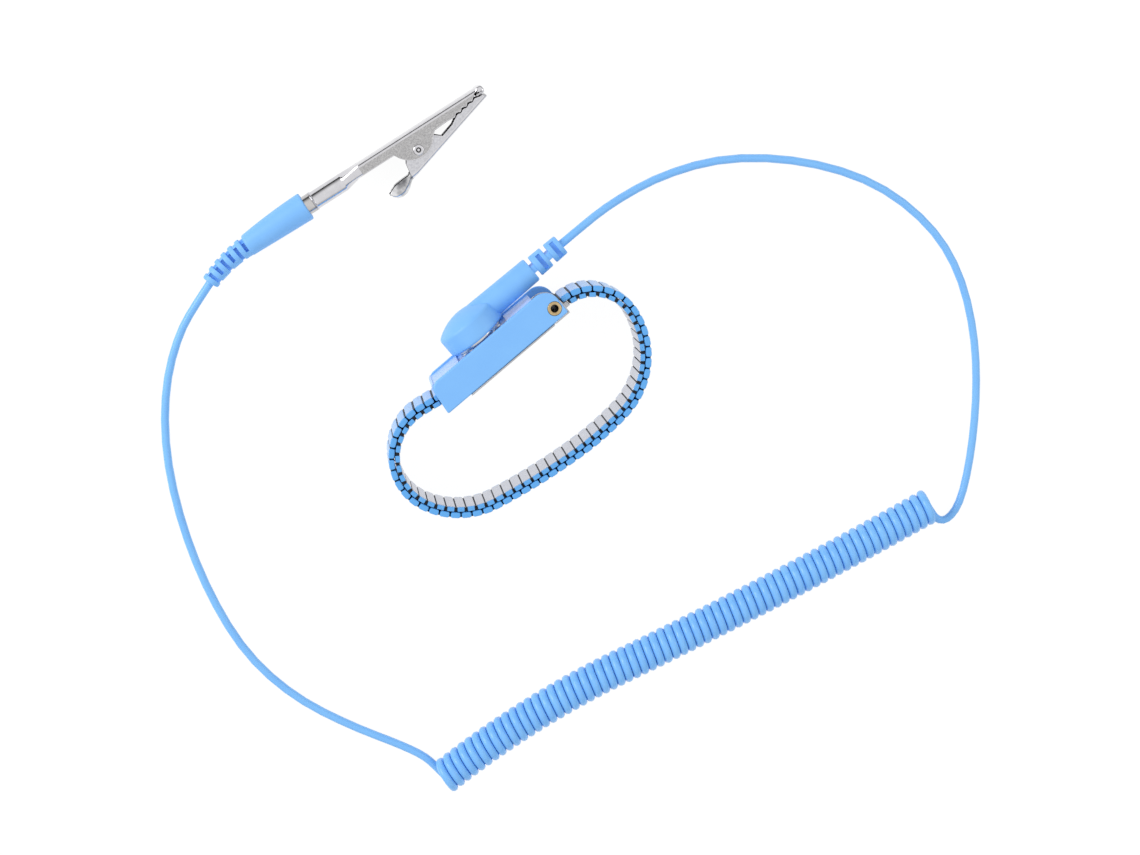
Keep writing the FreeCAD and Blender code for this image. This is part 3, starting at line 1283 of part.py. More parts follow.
# Nothing is written unless every object is sound
for thing in doc.Objects:
    if "Invalid" in thing.State or "Error" in thing.State:
        raise RuntimeError(f"{thing.Name} is {thing.State}")
for label, (piece, frame) in nodes.items():
    if piece.Shape.isNull() or not piece.Shape.isValid():
        raise RuntimeError(f"{label} has no sound shape")
os.makedirs("parts", exist_ok=True)
for label, (piece, frame) in nodes.items():
    piece.Shape.exportStep(f"parts/{label}.step")
print(len(nodes), "nodes written")
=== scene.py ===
"""Looks of an ESD wrist strap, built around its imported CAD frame.

The expansion band gets its enamelled and brushed links, the moulded pieces their eased edges, and
the coil cord its whole round form. Sizes are in millimetres in the classes and metres in Blender.
"""

import enum
import logging
import math
from dataclasses import dataclass, field

import bmesh
import bpy
import numpy as np
from mathutils import Matrix, Vector


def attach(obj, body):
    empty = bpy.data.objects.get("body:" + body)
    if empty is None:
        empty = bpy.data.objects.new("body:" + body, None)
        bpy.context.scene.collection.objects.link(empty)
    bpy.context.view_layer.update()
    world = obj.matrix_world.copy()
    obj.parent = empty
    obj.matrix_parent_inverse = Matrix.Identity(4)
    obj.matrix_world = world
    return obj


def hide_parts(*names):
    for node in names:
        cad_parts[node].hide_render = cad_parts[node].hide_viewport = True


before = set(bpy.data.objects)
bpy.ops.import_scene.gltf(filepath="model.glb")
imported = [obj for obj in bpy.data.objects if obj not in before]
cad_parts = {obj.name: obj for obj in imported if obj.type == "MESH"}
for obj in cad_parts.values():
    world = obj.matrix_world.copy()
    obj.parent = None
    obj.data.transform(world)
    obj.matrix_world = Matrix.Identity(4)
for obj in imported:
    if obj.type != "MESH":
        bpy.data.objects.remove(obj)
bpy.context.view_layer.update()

log = logging.getLogger("wrist_strap")

Pair = tuple[float, float]
Triple = tuple[float, float, float]
# One rim's radius, or one for the lower and one for the upper rim
Ease = float | Pair

MM = 0.001
# Middle of the snap in the row frame, in mm
SNAP_IN_ROW = np.array([2.6797, 7.2879, 0.0])
CORD_RADIUS = 1.05
# Range that a noise texture mostly stays in
NOISE_RANGE = {"From Min": 0.3, "From Max": 0.7}
# Edges that turn by more degrees than this stay sharp
SHARP_ANGLE = 33


def to_row(points: np.ndarray) -> np.ndarray:
    """Move points from the snap's frame, in mm, to the row frame, in metres.

    Args:
        points: places as (..., 3), with x = 0 and y = 0 as in the part's source.

    Returns:
        The same places shifted by the snap's place in the row and scaled to metres.
    """
    return (np.asarray(points, float) + SNAP_IN_ROW) * MM


def linear(colour: str) -> tuple[float, float, float, float]:
    """Turn an sRGB hex colour into linear RGBA.

    Args:
        colour: text such as "#7EBEFF".

    Returns:
        Red, green and blue after the sRGB curve, and an alpha of 1.
    """
    parts = [int(colour[i:i + 2], 16) / 255 for i in (1, 3, 5)]
    curve = [p / 12.92 if p <= 0.04045 else ((p + 0.055) / 1.055) ** 2.4 for p in parts]
    return (*curve, 1.0)


def add(tree: bpy.types.NodeTree, kind: str, settings: dict | None = None,
        links: dict | None = None) -> bpy.types.Node:
    """Add one shader node with its settings and links.

    Args:
        tree: the node tree.
        kind: the node's type, without its ShaderNode prefix.
        settings: attribute names, or input names or numbers, and their values.
        links: input names or numbers, and the output socket that feeds each.

    Returns:
        The new node.
    """
    node = tree.nodes.new("ShaderNode" + kind)
    for key, value in (settings or {}).items():
        if isinstance(key, str) and hasattr(node, key):
            setattr(node, key, value)
        else:
            node.inputs[key].default_value = value
    for key, socket in (links or {}).items():
        tree.links.new(socket, node.inputs[key])
    return node


def emptied(owner: bpy.types.Material | bpy.types.World) -> bpy.types.NodeTree:
    """Node tree of a new material or world, without its first nodes."""
    owner.use_nodes = True
    owner.node_tree.nodes.clear()
    return owner.node_tree


def linked(name: str, data: bpy.types.ID) -> bpy.types.Object:
    """New object of some data, in the scene."""
    made = bpy.data.objects.new(name, data)
    bpy.context.scene.collection.objects.link(made)
    return made


class Coordinates(enum.Enum):
    """Which coordinates a finish's pattern follows."""

    OBJECT = "Object"
    ALONG_PIECE = "UV"


@dataclass(frozen=True)
class Finish:
    """One real surface finish, as numbers for a procedural material.

    Lengths are in mm. The grain is a fine relief, and the cloud a broad, faint change of colour and
    gloss. A stretch above 1 draws the grain out along X, as brushing or extrusion does.
    """

    name: str
    slot: str
    colour: str
    shade: str
    roughness: float
    roughness_swing: float = 0.06
    metallic: float = 0.0
    ior: float = 1.5
    coat: float = 0.0
    coat_roughness: float = 0.1
    grain: float = 0.15
    grain_depth: float = 0.004
    grain_detail: float = 3.0
    cloud: float = 4.0
    cloud_amount: float = 0.5
    stretch: float = 1.0
    coordinates: Coordinates = Coordinates.OBJECT

    def material(self) -> bpy.types.Material:
        """Build the material: clouds mix two colours, the grain drives gloss and relief.

        Returns:
            The Blender material under this finish's name.
        """
        made = bpy.data.materials.get(self.name)
        if made:
            return made
        made = bpy.data.materials.new(self.name)
        tree = emptied(made)
        unit = 1.0 if self.coordinates is Coordinates.ALONG_PIECE else MM
        place = add(tree, "TexCoord").outputs[self.coordinates.value]
        drawn = add(tree, "Mapping", {"Scale": (1 / self.stretch, 1, 1)},
                    {"Vector": place}).outputs["Vector"]
        cloud = add(tree, "TexNoise", {"Scale": 1 / (self.cloud * unit), "Detail": 2.0},
                    {"Vector": place}).outputs["Fac"]
        grain = add(tree, "TexNoise", {
            "Scale": 1 / (self.grain * unit), "Detail": self.grain_detail, "Roughness": 0.55},
            {"Vector": drawn}).outputs["Fac"]
        share = add(tree, "MapRange", NOISE_RANGE | {"To Max": self.cloud_amount}, {"Value": cloud})
        colour = add(tree, "Mix", {
            "data_type": "RGBA", 6: linear(self.colour), 7: linear(self.shade)},
            {0: share.outputs["Result"]}).outputs[2]
        gloss = add(tree, "MapRange", NOISE_RANGE | {
            "To Min": self.roughness - self.roughness_swing,
            "To Max": self.roughness + self.roughness_swing}, {"Value": grain})
        relief = add(tree, "Bump", {"Distance": self.grain_depth * MM, "Strength": 1.0},
                     {"Height": grain})
        shader = add(tree, "BsdfPrincipled", {
            "Metallic": self.metallic, "IOR": self.ior, "Coat Weight": self.coat,
            "Coat Roughness": self.coat_roughness},
            {"Base Color": colour, "Roughness": gloss.outputs["Result"],
             "Normal": relief.outputs["Normal"]})
        add(tree, "OutputMaterial", links={"Surface": shader.outputs["BSDF"]})
        return made


# ABS moulded in a lightly spark-eroded tool: an even sky blue, half gloss, with a fine dry grain
ABS = Finish("moulded_abs", "sky_blue_plastic", "#80C0FF", "#7ABAFD", 0.42, ior=1.55, grain=0.18,
             grain_depth=0.003, cloud=6.0)
# Recessed floor of the same moulding, a little glossier, and painted paler as a sheen where light
# floods in at a low angle
SHEEN_PAINTED_ABS = Finish("moulded_abs_painted_sheen", "sky_blue_plastic", "#A6CEFF", "#9CC6FE", 0.3, ior=1.55,
                  grain_depth=0.002, cloud=6.0)
# Soft PVC moulded over the snap and the plug: the same blue, a little duller and softer to the eye
SOFT_PVC = Finish("moulded_soft_pvc", "sky_blue_plastic", "#80C0FF", "#76B8FA", 0.48, ior=1.55,
                  grain=0.22, cloud=5.0)
# Extruded polyurethane jacket: smooth, half gloss, with a faint waviness from the die
JACKET = Finish("extruded_jacket", "cord_jacket", "#80C2FF", "#76B8FC", 0.3, ior=1.52, grain=0.5,
                cloud=8.0)
# Enamel baked on the band's steel shells: deeper blue, glossy, with a slight orange peel
ENAMEL = Finish("baked_enamel", "band_enamel", "#58ACF2", "#4FA3EA", 0.34, coat=0.6,
                coat_roughness=0.2, grain=0.35, grain_depth=0.0008, cloud=3.0,
                coordinates=Coordinates.ALONG_PIECE)
# Stainless plates on the wrist's side: brushed along the band, a soft light grey
BRUSHED = Finish("brushed_stainless", "spring_steel", "#D3D5DD", "#C3C6CF", 0.42, metallic=1.0,
                 grain=0.09, grain_depth=0.002, cloud=2.0, stretch=14.0,
                 coordinates=Coordinates.ALONG_PIECE)
# Hard-drawn staple and spring wire: plain grey steel with a fine, even grain
SPRING_WIRE = Finish("drawn_spring_wire", "spring_steel", "#A4A6AA", "#8F9297", 0.32, metallic=1.0,
                     grain=0.12, grain_depth=0.002, cloud=1.5)
# Leaf springs inside the shells, which only show in the gaps: dry steel, painted near black as the
# shade between the links
SHADE_PAINTED_LEAF = Finish("leaf_spring_painted_shade", "spring_steel", "#20242C", "#14161B", 0.55, metallic=0.3,
                     grain_depth=0.002, cloud=1.5)
# Rolled stainless strip of the latch and the anchor: bright, with rolling lines
STRIP = Finish("rolled_stainless", "spring_steel", "#BDBEC2", "#A5A7AD", 0.3, metallic=1.0,
               grain=0.08, grain_depth=0.0015, cloud=3.0, stretch=18.0)
# Brass tube of the eyelet: turned and rolled, warm, faintly tarnished
BRASS = Finish("rolled_brass", "brass", "#CDB68C", "#A98F66", 0.27, metallic=1.0,
               grain_depth=0.003, cloud=1.2, cloud_amount=0.8)
# Inside of the same tube: brass painted near black, as the shade deep in the bore
SHADE_PAINTED_BORE = Finish("bore_painted_shade", "brass", "#1E1A16", "#120F0D", 0.5, metallic=0.2, grain=0.2,
                  grain_depth=0.003, cloud=1.0)
# Bright nickel on the snap: mirror-like, with soft polishing marks
NICKEL = Finish("bright_nickel", "snap_nickel", "#D6D4D0", "#BFBDB9", 0.14, roughness_swing=0.04,
                metallic=1.0, grain=0.3, grain_depth=0.002, cloud=2.5)
# Barrel-tumbled nickel plate on the upper jaw's side walls: grey, mottled, satin
TUMBLED = Finish("tumbled_nickel_plate", "clip_steel", "#C4C3C3", "#8E8D8F", 0.3,
                 roughness_swing=0.1, metallic=1.0, grain=0.35, grain_depth=0.008,
                 grain_detail=5.0, cloud=0.34, cloud_amount=0.7)
# The lower jaw's side walls: the same plate, paler and with a finer grain than the upper jaw's
PALER_PLATE = Finish("paler_nickel_plate", "clip_steel", "#D6D6DA", "#B2B2B8", 0.3,
                roughness_swing=0.08, metallic=1.0, grain=0.3, grain_depth=0.005,
                grain_detail=4.0, cloud=0.5, cloud_amount=0.6)
# The same plate where bending left it bright: the backs, the bends, the barrel and the rivet
BRIGHT_PLATE = Finish("bright_nickel_plate", "clip_steel", "#DAD9DC", "#C4C3C8", 0.13,
                      roughness_swing=0.05, metallic=1.0, grain=0.6, grain_depth=0.006, cloud=1.5)
# The thumb lever, polished by use, with dark blotches painted in as the reflections on its bright
# plate
REFLECTION_PAINTED_LEVER = Finish("polished_nickel_painted_reflections", "clip_steel", "#E4E4E6", "#44454B", 0.13,
                  roughness_swing=0.05, metallic=1.0, grain=0.6, grain_depth=0.01, cloud=2.1,
                  cloud_amount=0.85)
# Inside of the folded sheet: dull, and painted near black as the shade inside the channel
SHADE_PAINTED_INSIDE = Finish("inside_painted_shade", "clip_steel", "#2C2D30", "#1E1F22", 0.55, metallic=0.5,
                     grain=0.3, cloud=0.8)
# Turned and nickelled brass of the plug: bright, with fine turning lines
PLUG_NICKEL = Finish("turned_nickel", "plug_metal", "#CDCBCA", "#A9A7A8", 0.18, metallic=1.0,
                     grain=0.1, grain_depth=0.002, cloud=2.0)
# Beryllium copper leaves under nickel: a shade warmer than the plug
LEAVES = Finish("nickelled_leaves", "plug_metal", "#C9C3B6", "#ADA698", 0.22, metallic=1.0,
                grain=0.12, grain_depth=0.002, cloud=1.5)
# Stranded copper in its thin white cover
INNER_WIRE = Finish("inner_wire_cover", "conductor", "#E8E4DA", "#D9D3C6", 0.45, ior=1.45,
                    grain=0.1, grain_depth=0.003, cloud=1.5)
# Tinned copper crimp: dull silver with a stamped grain
TINNED = Finish("tinned_crimp", "conductor", "#C2BFB8", "#A19C93", 0.4, metallic=1.0, grain=0.2,
                grain_depth=0.006, cloud=1.0)


@dataclass(frozen=True)
class BandedLacquer:
    """Tan lacquer of the safety resistor, with the colour bands that say 1 megohm.

    The bands are steps along X, which is the resistor's length, and a fine speckle roughens them.
    """

    name: str = "banded_lacquer"
    slot: str = "resistor_body"
    start: float = 9.0
    length: float = 6.3
    ground: str = "#D2B48C"
    bands: tuple[tuple[float, str], ...] = (
        (1.0, "#7A4A22"), (2.3, "#1D1B1A"), (3.6, "#3F8F4A"), (5.0, "#C9A24A"))
    band_width: float = 0.7
    roughness: float = 0.35
    speckle: float = 0.3
    speckle_depth: float = 0.01

    def material(self) -> bpy.types.Material:
        """Build the material from a stepped colour ramp along X.

        Returns:
            The Blender material.
        """
        made = bpy.data.materials.new(self.name)
        tree = emptied(made)
        place = add(tree, "TexCoord").outputs["Object"]
        across = add(tree, "SeparateXYZ", links={0: place}).outputs["X"]
        low = to_row(np.array([self.start, 0, 0]))[0]
        share = add(tree, "MapRange", {"From Min": low, "From Max": low + self.length * MM},
                    {"Value": across}).outputs["Result"]
        ramp = add(tree, "ValToRGB", links={0: share})
        ramp.color_ramp.interpolation = "CONSTANT"
        stops = ramp.color_ramp.elements
        stops[1].position = 1.0
        stops[0].color = stops[1].color = linear(self.ground)
        for begin, colour in self.bands:
            for edge, shade in ((begin, colour), (begin + self.band_width, self.ground)):
                stops.new(edge / self.length).color = linear(shade)
        speckle = add(tree, "TexNoise", {"Scale": 1 / (self.speckle * MM)},
                      {"Vector": place}).outputs["Fac"]
        relief = add(tree, "Bump", {"Distance": self.speckle_depth * MM}, {"Height": speckle})
        shader = add(tree, "BsdfPrincipled", {"Roughness": self.roughness}, {
            "Base Color": ramp.outputs["Color"], "Normal": relief.outputs["Normal"]})
        add(tree, "OutputMaterial", links={"Surface": shader.outputs["BSDF"]})
        return made


@dataclass
class Surface:
    """Points and faces of one closed surface, with each face's number of finish."""

    points: np.ndarray
    faces: list[tuple[int, ...]]
    finish: int | np.ndarray = 0

    def moved(self, points: np.ndarray) -> "Surface":
        """The same faces with other points."""
        return Surface(points, self.faces, self.finish)


@dataclass(frozen=True)
class Place:
    """Where a sub-assembly's own axes stand: an origin in the snap's frame and a turn about Z."""

    origin: Triple = (0.0, 0.0, 0.0)
    turn: float = 0.0

    def turned(self, points: np.ndarray) -> np.ndarray:
        """Turn directions or places about Z: x and y mix by the cosine and sine of the turn."""
        angle = math.radians(self.turn)
        cosine, sine = math.cos(angle), math.sin(angle)
        matrix = np.array([[cosine, sine, 0], [-sine, cosine, 0], [0, 0, 1]])
        return np.asarray(points, float) @ matrix

    def put(self, surfaces: list[Surface]) -> list[Surface]:
        """Set local surfaces in the row frame, in metres.

        Args:
            surfaces: surfaces in the sub-assembly's own axes, in mm.

        Returns:
            The same surfaces turned, moved to the origin and scaled.
        """
        return [surface.moved(to_row(self.turned(surface.points) + self.origin))
                for surface in surfaces]


def full_turn(count: int) -> np.ndarray:
    """Even angles once round, in radians."""
    return np.linspace(0, 2 * math.pi, count, endpoint=False)


def rectangle(left: float, low: float, right: float, high: float) -> np.ndarray:
    """Corners of a rectangle, counter-clockwise from its lower left."""
    return np.array([(left, low), (right, low), (right, high), (left, high)])


def both_ends(half: np.ndarray, length: float) -> np.ndarray:
    """Profile of a piece with two like ends: one half, then its mirror image from the far end."""
    return np.concatenate([half, (half * [1, -1] + [0, length])[::-1]])


def apart(outline: np.ndarray, nearest: float) -> np.ndarray:
    """Outline without the points that lie nearer than a distance to the one before."""
    return outline[np.linalg.norm(outline - np.roll(outline, 1, 0), axis=1) > nearest]


def rounded(corners: np.ndarray, radius: float | np.ndarray, steps: int = 4) -> np.ndarray:
    """Round a closed outline's corners with circular arcs.

    Each arc is a rational quadratic curve: its ends lie the radius over the tangent of half the
    corner's angle away from the corner, but at most a share of the side, and the corner's weight is
    the sine of that half angle.

    Args:
        corners: the outline's corners as (n, 2).
        radius: one radius, or one for each corner.
        steps: points along each arc.

    Returns:
        The rounded outline, without points that fall together.
    """
    corners = np.asarray(corners, float)
    radius = np.broadcast_to(np.asarray(radius, float), len(corners))[:, None]
    before, after = np.roll(corners, 1, 0) - corners, np.roll(corners, -1, 0) - corners
    lengths = [np.linalg.norm(side, axis=1, keepdims=True) for side in (before, after)]
    before, after = before / lengths[0], after / lengths[1]
    largest, most_of_side = 0.999999, 0.48
    cosine = np.clip(np.sum(before * after, axis=1, keepdims=True), -largest, largest)
    cut = np.minimum(radius / np.sqrt((1 - cosine) / (1 + cosine)),
                     most_of_side * np.minimum(*lengths))
    weight = np.sqrt((1 - cosine) / 2)[:, None]
    start, end = corners + before * cut, corners + after * cut
    t = np.linspace(0, 1, steps)[None, :, None]
    shares = (1 - t) ** 2, 2 * t * (1 - t) * weight, t ** 2
    curve = sum(s * p[:, None] for s, p in zip(shares, (start, corners, end))) / sum(shares)
    return apart(curve.reshape(-1, 2), nearest=1e-4)


def inset(outline: np.ndarray, distance: float) -> np.ndarray:
    """Move an outline inwards along its normals by a distance.

    Args:
        outline: counter-clockwise points as (n, 2).
        distance: how far each side moves.

    Returns:
        The smaller outline. A point moves along the normal of the mean direction of its two sides,
        by the distance over the cosine of half its turn, which counts as 0.3 at least.
    """
    ahead = np.roll(outline, -1, 0) - outline
    ahead /= np.linalg.norm(ahead, axis=1, keepdims=True)
    along = ahead + np.roll(ahead, 1, 0)
    along /= np.linalg.norm(along, axis=1, keepdims=True)
    least = 0.3
    reach = distance / np.maximum(np.sum(along * ahead, axis=1, keepdims=True), least)
    return outline + reach * np.stack([-along[:, 1], along[:, 0]], axis=1)


def lattice(rings: np.ndarray, finish: int | np.ndarray = 0, endless: bool = False) -> Surface:
    """Closed surface over a grid of points, which wraps round in its second direction.

    Args:
        rings: the points as (rings, sides, 3).
        finish: number of the finish, or one for each quad as (rings - 1, sides).
        endless: whether the last ring joins the first; otherwise each end gets one face.

    Returns:
        The surface. An end face takes the finish of a quad beside it.
    """
    rings = np.asarray(rings, float)
    count, sides = rings.shape[:2]
    last = count if endless else count - 1
    ring, side = np.meshgrid(np.arange(last), np.arange(sides), indexing="ij")
    ahead, beyond = (side + 1) % sides, (ring + 1) % count
    quads = np.stack([ring * sides + side, ring * sides + ahead,
                      beyond * sides + ahead, beyond * sides + side], axis=-1)
    faces = [tuple(quad) for quad in quads.reshape(-1, 4).tolist()]
    if not endless:
        faces.append(tuple(range(sides - 1, -1, -1)))
        faces.append(tuple(range((count - 1) * sides, count * sides)))
    if isinstance(finish, np.ndarray):
        caps = [] if endless else [finish[0, :1], finish[-1, :1]]
        finish = np.concatenate([finish.ravel(), *caps])
    return Surface(rings.reshape(-1, 3), faces, finish)


def eased_rings(outline: np.ndarray, low: float, high: float, ease: Ease,
                steps: int = 4) -> list[np.ndarray]:
    """Rings of an outline that is carried along Z, with its two rims turned into quarter rounds.

    A ring lies the ease times one minus the cosine of an angle from the face, and is inset by the
    ease times one minus its sine. One more ring on each side of a round keeps the flats flat.

    Args:
        outline: counter-clockwise points as (n, 2).
        low: lower face.
        high: upper face.
        ease: radius of the rims, or one for the lower and one for the upper rim; 0 is square.
        steps: rings of each round.

    Returns:
        The rings' points as (n, 3), from the lower face to the upper one.
    """
    angles, past_round = np.radians(np.linspace(0, 90, steps)), [1.15]
    depth = np.concatenate([[0], 1 - np.cos(angles), past_round])
    inward = np.concatenate([past_round, 1 - np.sin(angles), [0]])
    (low_depth, low_inset), (high_depth, high_inset) = (
        (radius * depth, radius * inward) if radius else (np.zeros(1), np.zeros(1))
        for radius in (ease if isinstance(ease, tuple) else (ease, ease)))
    heights = np.concatenate([low + low_depth, high - high_depth[::-1]])
    insets = np.concatenate([low_inset, high_inset[::-1]])
    return [np.column_stack([inset(outline, i) if i else outline, np.full(len(outline), z)])
            for i, z in zip(insets, heights)]


def bar(outline: np.ndarray, low: float, high: float, ease: Ease, finish: int = 0,
        steps: int = 4) -> Surface:
    """Closed bar from eased rings, which its arguments describe, in one finish."""
    return lattice(np.array(eased_rings(outline, low, high, ease, steps)), finish)


def star(outline: np.ndarray, centre: np.ndarray, count: int) -> np.ndarray:
    """Points of an outline in order of their angle about a centre, at even angles and at its own.

    A ray from the centre meets a side where the cross products of the side's ends with the ray
    balance, which gives the share of the way along that side.

    Args:
        outline: counter-clockwise points as (n, 2), all seen from the centre.
        centre: the centre.
        count: number of even angles.

    Returns:
        The points, counter-clockwise.
    """
    own = outline - centre
    angles = np.arctan2(own[:, 1], own[:, 0])
    order = np.argsort(angles)
    own, angles = own[order], angles[order]
    off_corners = 1e-3
    wanted = np.linspace(-math.pi, math.pi, count, endpoint=False) + off_corners
    number = np.searchsorted(angles, wanted)
    start, end = own[number - 1], own[number % len(own)]
    ray = np.column_stack([np.cos(wanted), np.sin(wanted)])
    cross = [side[:, 0] * ray[:, 1] - side[:, 1] * ray[:, 0] for side in (start, end)]
    share = cross[0] / (cross[0] - cross[1])
    both = np.concatenate([own, start + share[:, None] * (end - start)])
    return apart(both[np.argsort(np.arctan2(both[:, 1], both[:, 0]))], nearest=0.02) + centre


def pierced(outline: np.ndarray, centre: Pair, hole: float, low: float, high: float,
            ease: Ease, around: int = 72) -> Surface:
    """Plate of an outline with a round hole, as one endless grid.

    The rings run over the outer rim as in a bar, then across the upper face to the hole, whose
    points lie at the same angles about its centre, through the hole and back under the plate.

    Args:
        outline: counter-clockwise points as (n, 2), all seen from the hole's centre.
        centre: the hole's centre.
        hole: its radius.
        low: lower face.
        high: upper face.
        ease: radius of the outer rims, or one for each.
        around: number of even angles round the hole.

    Returns:
        The closed surface.
    """
    middle = np.array(centre)
    points = star(outline, middle, around)
    own = points - middle
    ring = middle + hole * own / np.linalg.norm(own, axis=1, keepdims=True)
    rings = eased_rings(points, low, high, ease)
    rings += [np.column_stack([ring, np.full(len(points), z)]) for z in (high, low)]
    return lattice(np.array(rings), endless=True)


class Axis(enum.Enum):
    """Axis about which a profile turns, as the rows along, first side and second side."""

    X = ((1, 0, 0), (0, 1, 0), (0, 0, 1))
    Y = ((0, 1, 0), (0, 0, 1), (1, 0, 0))
    Z = ((0, 0, 1), (1, 0, 0), (0, 1, 0))


def turned_ring(profile: np.ndarray, axis: Axis, base: Triple, sides: int = 48,
                finish: int | np.ndarray = 0, endless: bool = False) -> Surface:
    """Turn a profile about an axis.

    A point is the base, plus its place along the axis, plus its radius times the cosine and sine of
    the angle on the two side directions. A point on the axis gets a tiny radius.

    Args:
        profile: (radius, place along the axis) of each point, in order.
        axis: the axis.
        base: a point on it.
        sides: points round it.
        finish: number of the surface's finish.
        endless: whether the profile closes on itself; otherwise its ends lie on the axis.

    Returns:
        The closed surface.
    """
    along, first, second = (np.array(row, float) for row in axis.value)
    angle, least = full_turn(sides), 0.01
    round_it = np.cos(angle)[:, None] * first + np.sin(angle)[:, None] * second
    profile = np.asarray(profile, float)
    rings = (np.array(base) + profile[:, 1, None, None] * along
             + np.maximum(profile[:, 0], least)[:, None, None] * round_it)
    return lattice(rings, finish, endless)


def arc(centre: Pair | np.ndarray, radius: float, start: float, end: float,
        steps: int) -> np.ndarray:
    """Points of a circular arc: the centre plus the radius at even angles, in degrees."""
    angle = np.radians(np.linspace(start, end, steps))
    return np.array(centre) + radius * np.column_stack([np.cos(angle), np.sin(angle)])


def wire(path: np.ndarray, radius: float, sides: int = 8, finish: int = 0) -> Surface:
    """Carry a circle along a path of straight runs, mitred at the corners.

    The circle's frame is carried along without twist: at each corner it turns by the rotation that
    takes one run's direction to the next, and the ring lies in the plane halfway between.

    Args:
        path: the wire's corners as (n, 3).
        radius: the wire's radius.
        sides: points round the wire.
        finish: number of the surface's finish.

    Returns:
        The closed surface.
    """
    path = np.asarray(path, float)
    runs = np.diff(path, axis=0)
    runs /= np.linalg.norm(runs, axis=1, keepdims=True)
    off_run = [0.3, 0.5, 0.8]
    side = np.cross(runs[0], off_run)
    side /= np.linalg.norm(side)
    turn = full_turn(sides)
    rings, straight = [], 1e-12
    for number, point in enumerate(path):
        run = runs[min(number, len(runs) - 1)]
        last = runs[max(number - 1, 0)]
        pivot = np.cross(last, run)
        if pivot @ pivot > straight:
            side = (side * (last @ run) + np.cross(pivot, side)
                    + pivot * (pivot @ side) / (1 + last @ run))
        up = np.cross(run, side)
        circle = radius * (np.cos(turn)[:, None] * side + np.sin(turn)[:, None] * up)
        plane = last + run
        plane /= np.linalg.norm(plane)
        slide = -(circle @ plane) / (run @ plane)
        rings.append(point + circle + slide[:, None] * run)
    return lattice(np.array(rings), finish)


class Plate(enum.IntEnum):
    """Finish numbers on folded sheet: side walls, bent or rolled parts, inside and lever."""

    WALL = 0
    BENT = 1
    INSIDE = 2
    LEVER = 3


def folded(x: np.ndarray, back: np.ndarray, foot: np.ndarray, middle: float, half: float,
           sheet: float, bend: np.ndarray, lever: np.ndarray) -> Surface:
    """Channel folded from sheet metal, which opens towards its foot.

    Its section at each x is a U: from an open edge straight to the bend, round a tight corner, over
    a back that is crowned as a parabola, and down again, then the same path the sheet's thickness
    further in. The corner ends where its slope is the parabola's. Depths count from the back, and
    none passes the open edge.

    Args:
        x: places along the channel.
        back: height of the back at each.
        foot: height of the open edges at each.
        middle: z of the channel's middle.
        half: half of its width.
        sheet: thickness of the sheet.
        bend: depth of the corner and the crown at each place.
        lever: whether the place is on the lever, whose outside has one finish.

    Returns:
        The closed surface, with the finish numbers of Plate.
    """
    x, back, foot, bend = (np.broadcast_to(np.asarray(values, float), len(x))[:, None]
                           for values in (x, back, foot, bend))
    way, tall = np.sign(foot - back), np.abs(foot - back)
    rim_share, crown_share, corner_share, least_corner = 0.46, 0.62, 0.75, 0.05
    rim = rim_share * sheet
    last = np.arctan2(half, crown_share * bend)

    def half_path(thin: float, shift: float) -> tuple[np.ndarray, np.ndarray]:
        """Depths and widths of half a U, from its eased rim to the middle of its back."""
        turn, rest = np.radians([0, 45, 90])[None, :], np.linspace(1, 0, 7)[None, 1:]
        angle = last * np.linspace(0, 1, 6)[None, :]
        corner, wide = np.maximum(corner_share * bend - thin, least_corner), half - thin
        crown = bend - thin - corner * np.sin(last)
        depth = np.concatenate([tall - rim * (1 - np.cos(turn)), bend - corner * np.sin(angle),
                                thin + crown * rest ** 2], 1)
        across = np.concatenate([wide + shift * (1 - np.sin(turn)) + 0 * tall,
                                 wide - corner * (1 - np.cos(angle)),
                                 (wide - corner * (1 - np.cos(last))) * rest], 1)
        return np.minimum(depth, tall), across

    outer, inner = half_path(0.0, -rim), half_path(sheet, rim)
    depth = np.concatenate([outer[0], outer[0][:, ::-1], inner[0], inner[0][:, ::-1]], 1)
    across = np.concatenate([outer[1], -outer[1][:, ::-1], -inner[1], inner[1][:, ::-1]], 1)
    rings = np.stack([np.broadcast_to(x, depth.shape), back + way * depth, middle + across], -1)
    path, side = outer[0].shape[1], np.arange(rings.shape[1])
    wall = np.isin(side, [2, 2 * path - 4])
    inside = (side > 2 * path + 1) & (side < 4 * path - 3)
    outside = np.where(lever[:-1, None], Plate.LEVER, np.where(wall, Plate.WALL, Plate.BENT))
    return lattice(rings, np.where(inside, Plate.INSIDE, outside))


